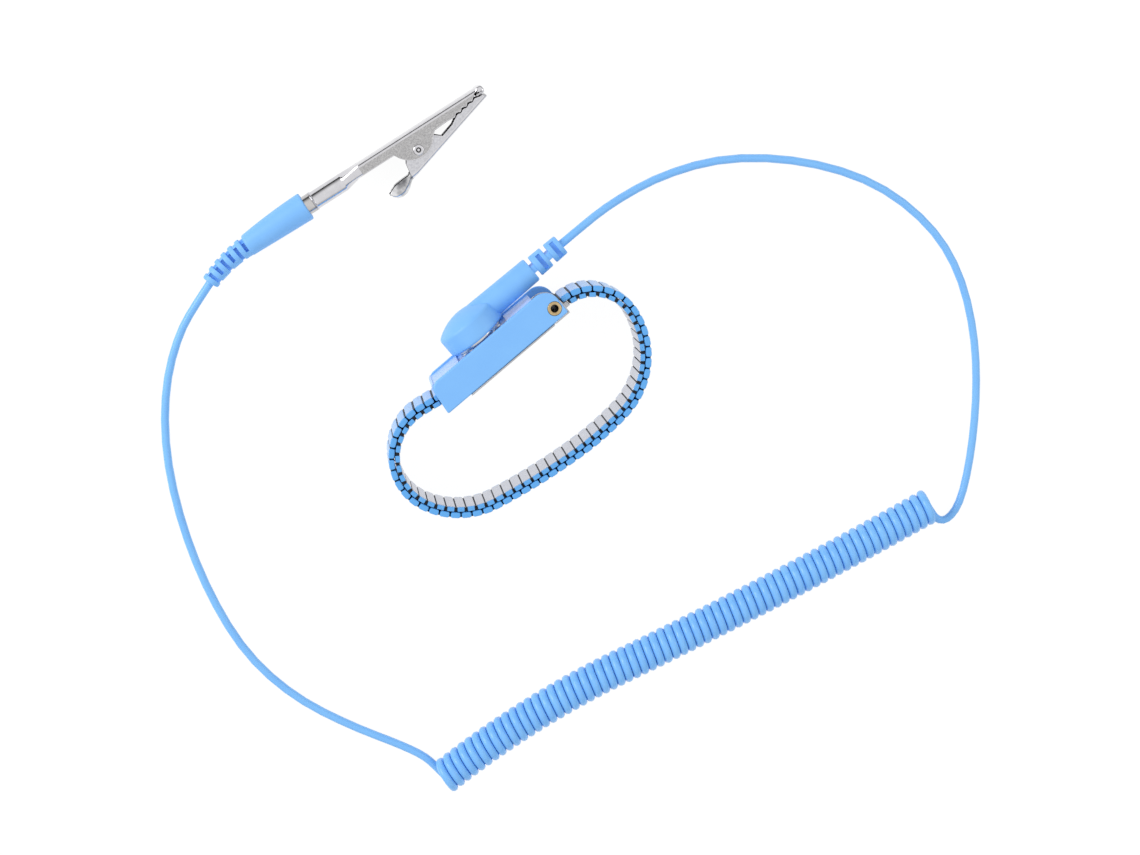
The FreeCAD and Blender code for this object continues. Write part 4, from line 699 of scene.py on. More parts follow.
def new_piece(name: str, surfaces: list[Surface], finishes: list[Finish], body: str, *nodes: str,
              along: np.ndarray | None = None) -> bpy.types.Object:
    """Make one object of several surfaces, with its place in its mesh, in the stead of CAD nodes.

    Args:
        name: the piece's name.
        surfaces: its surfaces in the row frame, in metres.
        finishes: the finishes that their numbers stand for.
        body: the CAD body that it rides on.
        nodes: the CAD nodes that it stands for.
        along: (points, 2) places along and across the piece in mm, for its UV map.

    Returns:
        The object.
    """
    starts = np.cumsum([0] + [len(surface.points) for surface in surfaces])
    faces = [tuple(corner + start for corner in face)
             for surface, start in zip(surfaces, starts) for face in surface.faces]
    mesh = bpy.data.meshes.new(name)
    mesh.from_pydata(np.concatenate([s.points for s in surfaces]).tolist(), [], faces)
    for finish in finishes:
        mesh.materials.append(finish.material())
    numbers = np.concatenate([np.broadcast_to(s.finish, len(s.faces)) for s in surfaces])
    mesh.polygons.foreach_set("material_index", numbers.astype(np.int32))
    mesh.polygons.foreach_set("use_smooth", np.ones(len(faces), bool))
    if along is not None:
        corners = np.empty(len(mesh.loops), np.int32)
        mesh.loops.foreach_get("vertex_index", corners)
        layer = mesh.uv_layers.new(name="along_piece")
        layer.data.foreach_set("uv", np.asarray(along, np.float32)[corners].ravel())
    shape = bmesh.new()
    shape.from_mesh(mesh)
    bmesh.ops.recalc_face_normals(shape, faces=shape.faces)
    shape.to_mesh(mesh)
    shape.free()
    mesh.set_sharp_from_angle(angle=math.radians(SHARP_ANGLE))
    piece = linked(name, mesh)
    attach(piece, body)
    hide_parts(*nodes)
    return piece


@dataclass
class Studio:
    """Camera of the photograph, white table and soft light."""

    camera_place: Triple = (0.01907, 0.10107, 0.5482)
    right: Triple = (0.76254, -0.63573, 0.11990)
    up: Triple = (0.64646, 0.74161, -0.17917)
    focal_pixels: float = 2150.0
    image_width: float = 1140.0
    sensor: float = 36.0
    clip_range: Pair = (0.01, 20.0)
    floor_half: float = 2.0
    floor_drop: float = 0.00005
    floor_glow: float = 1.06
    floor_glow_share: float = 0.9
    ambient: float = 0.72
    horizon: float = 0.04
    horizon_span: Pair = (0.03, 0.8)
    key_power: float = 4.8
    key_size: float = 0.6
    key_place: Triple = (-0.5, 0.76, 0.5)
    darker_side: Triple = (0.0, -0.14, 1.0)
    fill_power: float = 1.2
    fill_place: Triple = (0.75, -0.35, 0.6)

    def build(self) -> None:
        """Make the camera, the floor, the world and the lamps."""
        self.camera()
        self.floor()
        self.world()
        self.lamp("key", self.key_place, self.key_size, self.key_power)
        self.lamp("fill", self.fill_place, self.key_size, self.fill_power)
        bpy.context.scene.view_settings.view_transform = "Standard"

    def camera(self) -> None:
        """Set the camera; its focal length is the sensor's width times the photograph's focal
        length in pixels, over the photograph's width."""
        data = bpy.data.cameras.new("camera")
        data.sensor_width = self.sensor
        data.lens = self.sensor * self.focal_pixels / self.image_width
        data.clip_start, data.clip_end = self.clip_range
        camera = linked("camera", data)
        right, up = Vector(self.right).normalized(), Vector(self.up)
        up = (up - right * up.dot(right)).normalized()
        turned = Matrix((right, up, right.cross(up))).transposed().to_4x4()
        camera.matrix_world = Matrix.Translation(self.camera_place) @ turned
        bpy.context.scene.camera = camera

    def floor(self) -> None:
        """White table top that shows as white and still keeps a soft shadow."""
        half, low = self.floor_half, -self.floor_drop
        mesh = bpy.data.meshes.new("table_top")
        mesh.from_pydata([(x, y, low) for x, y in rectangle(-half, -half, half, half).tolist()],
                         [], [(0, 1, 2, 3)])
        # Board under matt white paint, lit until it shows as plain white with a faint shadow
        made = bpy.data.materials.new("white_table_top")
        tree = emptied(made)
        share = add(tree, "Math", {"operation": "MULTIPLY", 1: self.floor_glow_share}, {
            0: self.seen(tree)}).outputs[0]
        matt = add(tree, "BsdfDiffuse", {"Color": linear("#F4F5F8")}).outputs["BSDF"]
        white = add(tree, "Emission", {
            "Color": linear("#FFFFFF"), "Strength": self.floor_glow}).outputs["Emission"]
        both = add(tree, "MixShader", links={0: share, 1: matt, 2: white}).outputs["Shader"]
        add(tree, "OutputMaterial", links={"Surface": both})
        mesh.materials.append(made)
        table = linked("table_top", mesh)

    def seen(self, tree: bpy.types.NodeTree) -> bpy.types.NodeSocket:
        """Socket that is 1 for camera, glossy and transmission rays.

        Args:
            tree: the node tree.

        Returns:
            The largest of the three flags.
        """
        path = add(tree, "LightPath")
        two = add(tree, "Math", {"operation": "MAXIMUM"}, {
            0: path.outputs["Is Camera Ray"], 1: path.outputs["Is Glossy Ray"]}).outputs[0]
        return add(tree, "Math", {"operation": "MAXIMUM"}, {
            0: two, 1: path.outputs["Is Transmission Ray"]}).outputs[0]

    def world(self) -> None:
        """White backdrop for what is seen, and an even ambient light for the rest.

        Polished metal sees the backdrop darken towards the horizon, as a studio's walls do.
        """
        world = bpy.data.worlds.new("studio")
        bpy.context.scene.world = world
        tree = emptied(world)
        near, far = self.horizon_span
        level = add(tree, "MapRange", {"To Min": self.ambient, "To Max": 1.0},
                    {"Value": self.seen(tree)})
        height = add(tree, "VectorMath", {"operation": "DOT_PRODUCT", 1: self.darker_side}, {
            0: add(tree, "TexCoord").outputs["Generated"]}).outputs["Value"]
        walls = add(tree, "MapRange", {
            "interpolation_type": "SMOOTHSTEP", "From Min": near, "From Max": far,
            "To Min": self.horizon, "To Max": 1.0}, {"Value": height})
        glossy = add(tree, "LightPath").outputs["Is Glossy Ray"]
        shade = add(tree, "Mix", {"data_type": "FLOAT", 2: 1.0},
                    {0: glossy, 3: walls.outputs["Result"]})
        strength = add(tree, "Math", {"operation": "MULTIPLY"}, {
            0: level.outputs["Result"], 1: shade.outputs[0]})
        sky = add(tree, "Background", {"Color": (1.0, 1.0, 1.0, 1.0)},
                  {"Strength": strength.outputs[0]})
        add(tree, "OutputWorld", links={"Surface": sky.outputs["Background"]})

    def lamp(self, name: str, place: Triple, size: float, power: float) -> None:
        """Square soft lamp that looks at the middle of the object.

        Args:
            name: the lamp's name.
            place: where it stands, in metres.
            size: side of the lamp, in metres.
            power: its power, in watts.
        """
        data = bpy.data.lights.new(name, "AREA")
        data.energy, data.size = power, size
        lamp = linked(name, data)
        lamp.location = place
        lamp.rotation_mode = "QUATERNION"
        lamp.rotation_quaternion = (-Vector(place)).to_track_quat("-Z", "Y")


def along_arcs(start: Pair, heading: float, arcs: list[Pair],
               distance: np.ndarray) -> tuple[np.ndarray, np.ndarray, np.ndarray]:
    """Places and directions along a path of tangent arcs in the XY plane.

    Each arc starts where the last one ends. Within an arc the heading grows evenly with distance,
    and the step from its start is a chord: the distance times the sine of half the turn over half
    the turn, in the direction of the heading plus half the turn. Past the end the path is straight,
    and before its start the first arc is carried back.

    Args:
        start: the path's first point, in mm.
        heading: its direction there, in degrees.
        arcs: length in mm and turn in degrees of each arc.
        distance: places along the path, in mm.

    Returns:
        Points (n, 3), directions along the path (n, 3) and directions to its left (n, 3).
    """
    distance = np.asarray(distance, float)
    straight_on = (1e6, 0.0)
    lengths = np.array([length for length, _ in [*arcs, straight_on]])
    turns = np.radians([turn for _, turn in [*arcs, straight_on]])
    ends = np.cumsum(lengths)
    begins = ends - lengths
    headings = math.radians(heading) + np.concatenate([[0], np.cumsum(turns)[:-1]])

    def step(part: np.ndarray, turn: np.ndarray, first: np.ndarray) -> np.ndarray:
        """Chord of an arc from its length, its turn and its first heading."""
        half = turn / 2
        chord = part * np.sinc(half / math.pi)
        return np.stack([chord * np.cos(first + half), chord * np.sin(first + half)], axis=-1)

    steps = np.cumsum(step(lengths, turns, headings), 0)
    corners = np.array(start) + np.concatenate([[[0, 0]], steps[:-1]])
    number = np.clip(np.searchsorted(ends, distance), 0, len(lengths) - 1)
    part = distance - begins[number]
    turned = turns[number] * part / lengths[number]
    flat = corners[number] + step(part, turned, headings[number])
    angle = headings[number] + turned
    zero = np.zeros_like(angle)
    points = np.column_stack([flat, zero])
    return (points, np.column_stack([np.cos(angle), np.sin(angle), zero]),
            np.column_stack([-np.sin(angle), np.cos(angle), zero]))


@dataclass
class Cord:
    """Curly cord with its two leads, one smooth line from the wrist connector to the plug.

    The leads repeat the route of the part's source, and the coil is a helix about two gentle arcs,
    whose wire is swollen until the turns nearly touch. The gaps are the straight runs between the
    last points of a lead and the coil, and between the sleeve and its lead.
    """

    coil_start: Pair = (-83.3, -75.6)
    coil_heading: float = -1.9
    coil_arcs: list[Pair] = field(default_factory=lambda: [(56.0, -13.2), (92.0, 3.8)])
    turns: int = 64
    coil_radius: float = 3.65
    points_per_turn: int = 16
    stub: float = 1.851
    swell: float = 1.09
    lead_gaps: Pair = (4.2, 5.0)
    sleeve_gap: float = 5.0
    wrist_exit: Triple = (31.0, 13.1, 8.2)
    length: float = 1842.6

    def wrist_lead(self) -> np.ndarray:
        """Route from the wrist connector to the coil's far end, in mm."""
        return np.array([
            self.wrist_exit, (37.0, 13.1, 8.2), (47.5, 12.4, 5.4), (62.5, 8.9, 1.5),
            (78.5, 1.4, CORD_RADIUS), (93.6, -12.6, CORD_RADIUS), (104.4, -29.2, CORD_RADIUS),
            (108.6, -47.0, CORD_RADIUS), (107.0, -62.0, CORD_RADIUS), (100.2, -77.2, CORD_RADIUS),
            (91.0, -90.2, CORD_RADIUS), (80.0, -102.0, CORD_RADIUS), (69.5, -110.9, CORD_RADIUS),
            (63.6, -112.8, CORD_RADIUS)])

    def clip_lead(self, tip: np.ndarray, out: np.ndarray) -> np.ndarray:
        """Route from the plug sleeve to the coil's near end.

        Args:
            tip: middle of the strain relief's tip.
            out: direction in which the cord leaves it.

        Returns:
            The route's points in mm.
        """
        return np.array([
            tip, tip + self.sleeve_gap * out, (-56.8, 58.2, 2.6), (-69.0, 50.0, CORD_RADIUS),
            (-80.6, 36.8, CORD_RADIUS), (-90.2, 19.5, CORD_RADIUS), (-97.0, 1.0, CORD_RADIUS),
            (-100.4, -17.0, CORD_RADIUS), (-98.6, -34.0, CORD_RADIUS), (-92.8, -49.5, CORD_RADIUS),
            (-86.8, -61.5, CORD_RADIUS)])

    def helix(self, turn: np.ndarray, radius: float) -> np.ndarray:
        """Points of the coil: a circle about the axis that turns once for each pitch.

        Args:
            turn: places along the coil, in turns.
            radius: distance from the axis, which lies a turn's radius above the lowest wire.

        Returns:
            Points (n, 3): the axis's point, plus the radius times the cosine of the angle to the
            side and its sine upwards. The angle starts at the bottom and runs backwards.
        """
        pitch = sum(length for length, _ in self.coil_arcs) / self.turns
        base, _, side = along_arcs(self.coil_start, self.coil_heading, self.coil_arcs, turn * pitch)
        angle = np.radians(-90 - 360 * turn)
        up = np.array([0, 0, 1.0])
        return (base + up * (self.swell * CORD_RADIUS + self.coil_radius)
                + radius * (np.cos(angle)[:, None] * side + np.sin(angle)[:, None] * up))

    def build(self, tip: np.ndarray, out: np.ndarray, with_pieces: list[str]) -> bpy.types.Object:
        """Make the cord as one NURBS spline with a round section.

        The helix's control points lie outside the turns by one over the cosine of half their step,
        because the spline cuts inside its corners by that much.

        Args:
            tip: middle of the plug sleeve's tip, in mm.
            out: direction of the cord there.
            with_pieces: the CAD nodes that go with the cord; not used.

        Returns:
            The curve object.
        """
        steps, little = self.points_per_turn, 1e-4
        wide = self.coil_radius / math.cos(math.pi / steps)
        ends = self.helix(np.array([0, little, self.turns - little, self.turns]), self.coil_radius)
        first_in = (ends[1] - ends[0]) / np.linalg.norm(ends[1] - ends[0])
        last_out = (ends[3] - ends[2]) / np.linalg.norm(ends[3] - ends[2])
        lead_in, lead_out = ends[0] - first_in * self.stub, ends[3] + last_out * self.stub
        turns = self.helix(np.arange(1, self.turns * steps) / steps, wide)
        out_gap, in_gap = self.lead_gaps
        points = np.concatenate([
            self.wrist_lead(), [lead_out + last_out * out_gap, lead_out], turns[::-1],
            [lead_in, lead_in - first_in * in_gap], self.clip_lead(tip, out)[::-1]])
        data = bpy.data.curves.new("cord", "CURVE")
        data.dimensions = "3D"
        data.bevel_depth = CORD_RADIUS * MM
        data.bevel_resolution = 3
        data.use_fill_caps = True
        spline = data.splines.new("NURBS")
        spline.points.add(len(points) - 1)
        places = np.column_stack([to_row(points), np.ones(len(points))])
        spline.points.foreach_set("co", places.astype(np.float32).ravel())
        swell = np.ones(len(points))
        first_turn = len(self.wrist_lead()) + 2
        swell[first_turn:first_turn + len(turns)] = self.swell
        spline.points.foreach_set("radius", swell.astype(np.float32))
        spline.order_u = 3
        spline.use_endpoint_u = True
        spline.resolution_u = 3
        data.materials.append(JACKET.material())
        cord = linked("cord", data)
        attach(cord, "connector")
        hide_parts("lead_to_wrist", "lead_to_clip", "coil")
        return cord


class Link(enum.IntEnum):
    """Finish numbers on the band's links."""

    SHELL = 0
    PLATE = 1
    STAPLE = 2
    LEAF = 3


@dataclass
class ExpansionBand:
    """Two rows of spring-linked shells round the wrist.

    An outer shell and an inner shell make a pair, and a staple holds each pair to the next. Local
    places have X along the band, Y away from the wrist and Z across the band. A leaf is given by
    its lower and upper face and by its reach beyond half of the pitch.
    """

    middle: float = 8.2
    start: Pair = (21.43, 2.17)
    heading: float = 2.6
    arcs: list[Pair] = field(default_factory=lambda: [
        (20.1, -97.8), (28.3, -78.3), (15.2, -11.0), (24.5, -8.3), (18.6, -52.9), (29.6, -122.6),
        (5.5, -2.2), (3.0, 10.5)])
    first: float = 1.7
    pitch: float = 2.7
    groups: int = 26
    pairs_in_group: int = 2
    end_pairs: int = 3
    half_width: float = 6.3
    height: float = 1.6
    gap: float = 0.24
    foot_gap: float = 0.1
    rounds: Pair = (0.42, 0.5)
    ease: float = 0.36
    outer_leaf: Triple = (0.3, 0.8, 0.25)
    outer_leaf_middle: float = 0.6
    outer_leaf_inset: float = 0.45
    plate_gap: float = 0.34
    plate_round: float = 0.09
    plate_ease: float = 0.05
    plate_lap: float = 0.1
    inner_leaf: Triple = (0.27, -0.2, 0.1)
    tab: float = 0.74
    tab_depth: float = 0.55
    tab_gaps: Pair = (0.02, 0.1)
    tab_round: float = 0.12
    tab_eases: Pair = (0.02, 0.14)
    inner_height: float = 1.35
    row_gap: float = 0.05
    sheet: float = 0.2
    wire_radius: float = 0.17
    staple_place: float = 4.6
    staple_lead: float = 0.72
    prong_height: float = 0.65
    prong_reach: float = 3.12
    bar_drop: float = 0.76

    def half(self, height: float, bent: float, gap: float) -> float:
        """Half length of a link at a height: half of the pitch there, which grows by the height
        times the band's bend, less the gap."""
        return (self.pitch * (1 + height * bent) - gap) / 2

    def outer_shell(self, bent: float) -> list[Surface]:
        """Enamelled shell, rounded all over, with a leaf spring that reaches into the next one.

        Args:
            bent: the band's bend there, as one over its radius.

        Returns:
            The surfaces.
        """
        top, low = self.height, self.row_gap
        wide = self.half(top, bent, self.gap)
        narrow = self.half(low, bent, self.gap + self.foot_gap)
        shell = rounded(np.array([(-narrow, low), (narrow, low), (wide, top), (-wide, top)]),
                        np.repeat(self.rounds, 2), 3)
        leaf_low, leaf_high, beyond = self.outer_leaf
        reach = self.half(self.outer_leaf_middle, bent, 0) + beyond
        leaf = rectangle(-reach, leaf_low, reach, leaf_high * top)
        inner = self.half_width - self.outer_leaf_inset
        return [bar(shell, -self.half_width, self.half_width, self.ease, Link.SHELL, steps=3),
                bar(leaf, -inner, inner, 0.0, Link.LEAF)]

    def inner_shell(self, bent: float) -> list[Surface]:
        """Brushed plate on the wrist's side, its leaf spring, and an enamelled tab at each edge.

        Args:
            bent: the band's bend there, as one over its radius.

        Returns:
            The surfaces.
        """
        low = -self.inner_height
        half, tab = self.half(low, bent, self.plate_gap), self.half(low, bent, self.tab)
        inner = self.half_width - self.tab_depth
        plate = rounded(rectangle(-half, low, half, low + self.sheet), self.plate_round, 3)
        leaf_low, leaf_high, beyond = self.inner_leaf
        reach = self.half(low, bent, 0) + beyond
        leaf = rectangle(-reach, low + leaf_low, reach, leaf_high)
        low_gap, high_gap = self.tab_gaps
        cup = rounded(rectangle(-tab, low + low_gap, tab, -self.row_gap - high_gap),
                      self.tab_round, 3)
        under = inner + self.plate_lap
        return [bar(plate, -under, under, self.plate_ease, Link.PLATE, steps=2),
                bar(leaf, -inner, inner, 0.0, Link.LEAF),
                bar(cup, inner, self.half_width, self.tab_eases, Link.SHELL, steps=3),
                bar(cup, -self.half_width, -inner, self.tab_eases[::-1], Link.SHELL, steps=3)]

    def staple(self) -> list[Surface]:
        """Bent wire: a bar under the inner shell, two legs, and two prongs to the next pair."""
        lead, place = self.staple_lead, self.staple_place
        path = np.array([
            (self.prong_reach, self.prong_height, -place), (lead, self.prong_height, -place),
            (lead, -self.bar_drop, -place), (lead, -self.bar_drop, place),
            (lead, self.prong_height, place), (self.prong_reach, self.prong_height, place)])
        return [wire(path, self.wire_radius, sides=6, finish=Link.STAPLE)]

    def bend(self, distance: float) -> float:
        """The band's bend at a place, as one over its radius: the turn between two near places.

        Args:
            distance: place along the band.

        Returns:
            The bend, above 0 where the outer side is the longer one.
        """
        along = along_arcs(self.start, self.heading, self.arcs,
                           np.array([distance - self.pitch, distance + self.pitch]))[1]
        turn = math.atan2(*np.cross(along[1], along[0])[2:], along[0] @ along[1])
        return turn / (2 * self.pitch)

    def placed(self, surfaces: list[Surface],
               distance: float) -> tuple[list[Surface], list[np.ndarray]]:
        """Set local surfaces on the band.

        A local point goes to the band's point plus x along the band, y to its left and z up.

        Args:
            surfaces: the local surfaces.
            distance: place along the band.

        Returns:
            The surfaces in the row frame, and for each the places along and across the band.
        """
        base, along, aside = (part[0] for part in along_arcs(
            self.start, self.heading, self.arcs, np.array([distance])))
        base = base + [0, 0, self.middle]
        axes = np.stack([along, aside, [0, 0, 1.0]])
        put = [surface.moved(to_row(base + surface.points @ axes)) for surface in surfaces]
        flat = [np.column_stack([distance + s.points[:, 0] + s.points[:, 1], s.points[:, 2]])
                for s in surfaces]
        return put, flat

    def pairs(self, name: str, first: int, count: int, body: str) -> bpy.types.Object:
        """Make some pairs as one piece that stands for a CAD node.

        Args:
            name: the CAD node.
            first: number of the first pair.
            count: how many pairs.
            body: the CAD body that they ride on.

        Returns:
            The piece.
        """
        surfaces: list[Surface] = []
        along: list[np.ndarray] = []
        for number in range(first, first + count):
            place = self.first + number * self.pitch
            bent = self.bend(place)
            for local, where in ((self.outer_shell(bent), place),
                                 (self.inner_shell(bent), place + self.pitch / 2),
                                 (self.staple(), place)):
                put, flat = self.placed(local, where)
                surfaces += put
                along += flat
        # The leaves' near-black finish is painted shade in the gaps between the shells
        finishes = [ENAMEL, BRUSHED, SPRING_WIRE, SHADE_PAINTED_LEAF]
        return new_piece(name + "_shells", surfaces, finishes, body, name,
                         along=np.concatenate(along))

    def build(self) -> list[bpy.types.Object]:
        """Make every group of the band and the end that the latch clamps."""
        made = []
        for group in range(self.groups):
            name = f"band_links_{group + 1:02d}"
            made.append(self.pairs(name, group * self.pairs_in_group, self.pairs_in_group, name))
        last = self.groups * self.pairs_in_group
        made.append(self.pairs("band_end", last, self.end_pairs, "buckle"))
        return made


@dataclass
class Buckle:
    """Moulded housing with its latch, eyelet, snap stud and contact strip.

    The crowns are the radii of the left and the right end. The recess is given by its two ends, the
    shelf by its height and its nearest place to the snap, and the sill by its end and its height.
    """

    left: float = -18.2
    right: float = 21.45
    height: float = 8.3
    width: float = 16.4
    wall: float = 1.2
    draft: float = 7.0
    crowns: Pair = (2.6, 4.3)
    channel_top: float = 6.0
    floor_top: float = 7.2
    shelf: Pair = (7.85, 7.9)
    end_foot: float = 5.35
    recess: Pair = (-16.2, 16.3)
    sill: Pair = (-10.6, 1.0)
    hinge: Pair = (19.26, 2.95)
    rim_ease: float = 0.42
    inner_ease: float = 0.2
    corner_ease: float = 0.5
    latch_sheet: float = 0.4
    latch_right: float = 16.66
    latch_ease: float = 0.1
    lip_top: float = 2.2
    lip_round: float = 0.15
    lug: float = 2.2
    lug_span: Pair = (-70.0, 150.0)
    ear_foot: float = 4.06
    cheek_top: float = 13.7
    cheek_sheet: float = 0.9
    cheek_rim: float = 0.8
    cheek_post: float = 0.2
    edge_strip: Pair = (0.3, 0.2)
    ear_sheet: float = 0.5
    gap: float = 0.05
    eyelet: float = 1.2
    eyelet_bore: float = 0.875
    eyelet_flange: float = 1.85
    eyelet_rim: float = 0.3

    def leaning(self, y: float) -> float:
        """Place of the left end at a height, which leans by the draft."""
        return self.left + y * math.tan(math.radians(self.draft))

    def housing(self) -> bpy.types.Object:
        """Two walls with eased rims, the sill, and the floor with its raised left end and shelves.

        The shelves stand above the floor on both sides of the snap's seat, with broken edges.
        """
        left_crown, right_crown = self.crowns
        foot, high, corner = self.end_foot, self.height, (self.leaning(self.height), self.height)
        walls = rounded(np.array([(self.left, 0), (self.right, 0), (self.right, high), corner]),
                        np.array([self.corner_ease, self.corner_ease, right_crown, left_crown]), 12)
        crown = rounded(np.array([(self.leaning(foot), foot), (0.0, foot), (0.0, high), corner]),
                        np.array([0.2, 0.1, 0.1, left_crown]), 12)
        left, right = self.recess
        left_end = crown[crown[:, 0] < left - 0.12]
        top = left_end[:, 1].max()
        shelf, side = self.shelf
        low, under = self.floor_top, self.channel_top
        shelves = np.array([
            (left - 0.1, top - 0.02), (left, top - 0.14), (left, shelf + 0.12),
            (left + 0.14, shelf), (-side - 0.1, shelf), (-side, shelf - 0.1), (-side, low),
            (side, low), (side, shelf - 0.1), (side + 0.1, shelf), (right - 0.2, shelf),
            (right, shelf - 0.2), (right, under), (left, under), (left, foot)])
        floor = np.concatenate([shelves[::-1], left_end[np.argsort(left_end[:, 1])[::-1]]])
        end, rise = self.sill
        sill = rounded(
            np.array([(self.left, 0), (end, 0), (end, rise), (self.leaning(rise), rise)]), 0.12, 3)
        inside, hole = self.wall - self.inner_ease, self.eyelet_flange + 0.02
        surfaces = [
            pierced(walls, self.hinge, hole, 0, self.wall, (self.rim_ease, self.inner_ease)),
            pierced(walls, self.hinge, hole, self.width - self.wall, self.width,
                    (self.inner_ease, self.rim_ease)),
            # The floor takes the second finish, painted paler as a sheen
            bar(floor, inside, self.width - inside, 0.0, finish=1),
            bar(sill, inside, self.width - inside, 0.0)]
        return new_piece("housing_shell", Place().put(surfaces), [ABS, SHEEN_PAINTED_ABS], "buckle",
                         "housing")

    def latch(self) -> bpy.types.Object:
        """Plate under the buckle, with its lip and its two ears round the hinge."""
        sheet, left = self.latch_sheet, self.sill[0]
        plate = rounded(rectangle(left, -sheet, self.latch_right, 0), self.latch_ease, 3)
        lip_left, lip_foot = left + self.gap, -sheet / 2
        lip = rounded(rectangle(lip_left, lip_foot, lip_left + sheet, self.lip_top), self.lip_round)
        curve = arc(self.hinge, self.lug, *self.lug_span, 24)
        ear = np.concatenate([
            [(self.hinge[0] - self.ear_foot, -sheet), (self.latch_right, -sheet)], curve])
        first = self.wall + self.gap
        last, ease, hole = self.width - first, self.latch_ease, self.eyelet + self.gap
        surfaces = [bar(plate, 0, self.width, ease), bar(lip, first, last, ease)]
        surfaces += [pierced(ear, self.hinge, hole, *span, ease) for span in (
            (first, first + self.ear_sheet), (last - self.ear_sheet, last))]
        return new_piece("latch_strip", Place().put(surfaces), [STRIP], "latch", "latch_plate")

    def cheeks(self) -> bpy.types.Object:
        """Steel cheeks that line the hinge's end: a rim within the crown, and an edge strip.

        The rim follows the crown's arc a little below the wall, on a narrow ring that holds it. The
        strip runs under the wall's foot and up its right end.
        """
        radius = self.crowns[1]
        centre = (self.right - radius, self.height - radius)
        left = self.recess[1] + 0.05

        def band(outer: float, inner: float) -> np.ndarray:
            """Crown's arc and its straight lead, between two radii."""
            there, back = arc(centre, outer, 12, 90, 12), arc(centre, inner, 90, 12, 12)
            lead = [(left, centre[1] + outer), (left, centre[1] + inner)]
            return np.concatenate([there, lead, back])

        foot, side = self.edge_strip
        outside, inside = self.right + side, self.right - 0.1
        strip = np.array([
            (self.latch_right + 0.35, 0.1), (self.latch_right + 0.45, -foot),
            (outside - 0.15, -foot), (outside, 0.15 - foot), (outside, 3.4), (inside, 4.2),
            (inside, 0.1)])
        top, low = self.cheek_top, radius - self.cheek_rim
        in_wall = self.width - self.wall + 0.1
        near = [bar(band(radius, low), top - self.cheek_sheet, top, 0.12),
                bar(band(low + self.cheek_post, low), top - 0.05, in_wall, 0.0),
                bar(strip, in_wall, self.width - 0.1, 0.06)]
        far = near[2].moved(near[2].points * [1, 1, -1] + [0, 0, self.width])
        return new_piece("hinge_cheeks", Place().put([*near, far]), [STRIP], "buckle")

    def tube(self) -> bpy.types.Object:
        """Brass tube whose ends are rolled over both walls, painted black inside as the shade of
        its bore.
        """
        bore, flange, rim = self.eyelet_bore, self.eyelet_flange, self.eyelet_rim
        half = np.array([
            (bore, 0.6), (bore, 0.42), (bore + 0.05, 0.2), (bore + 0.16, 0.06), (bore + 0.34, 0.0),
            (flange - 0.32, 0.02), (flange - 0.12, 0.07), (flange - 0.03, 0.15), (flange, 0.22),
            (flange, rim), (self.eyelet, rim)])
        profile, sides = both_ends(half, self.width), 56
        # The bore's faces take the second finish, painted shade
        inside = np.isin(np.arange(len(profile)), [0, len(profile) - 2, len(profile) - 1])
        finish = np.repeat(np.where(inside, 1, 0)[:, None], sides, 1)
        surface = turned_ring(profile, Axis.Z, (*self.hinge, 0), sides, finish, endless=True)
        return new_piece("eyelet_tube", Place().put([surface]), [BRASS, SHADE_PAINTED_BORE], "buckle",
                         "hinge_eyelet")

    def build(self) -> list[bpy.types.Object]:
        """Make the moulded and folded pieces, and give the CAD nodes their finishes."""
        wear("band_anchor", STRIP)
        wear("snap_stud", NICKEL)
        wear("stud_rivet", NICKEL)
        wear("contact_strip", STRIP)
        return [self.housing(), self.latch(), self.cheeks(), self.tube()]


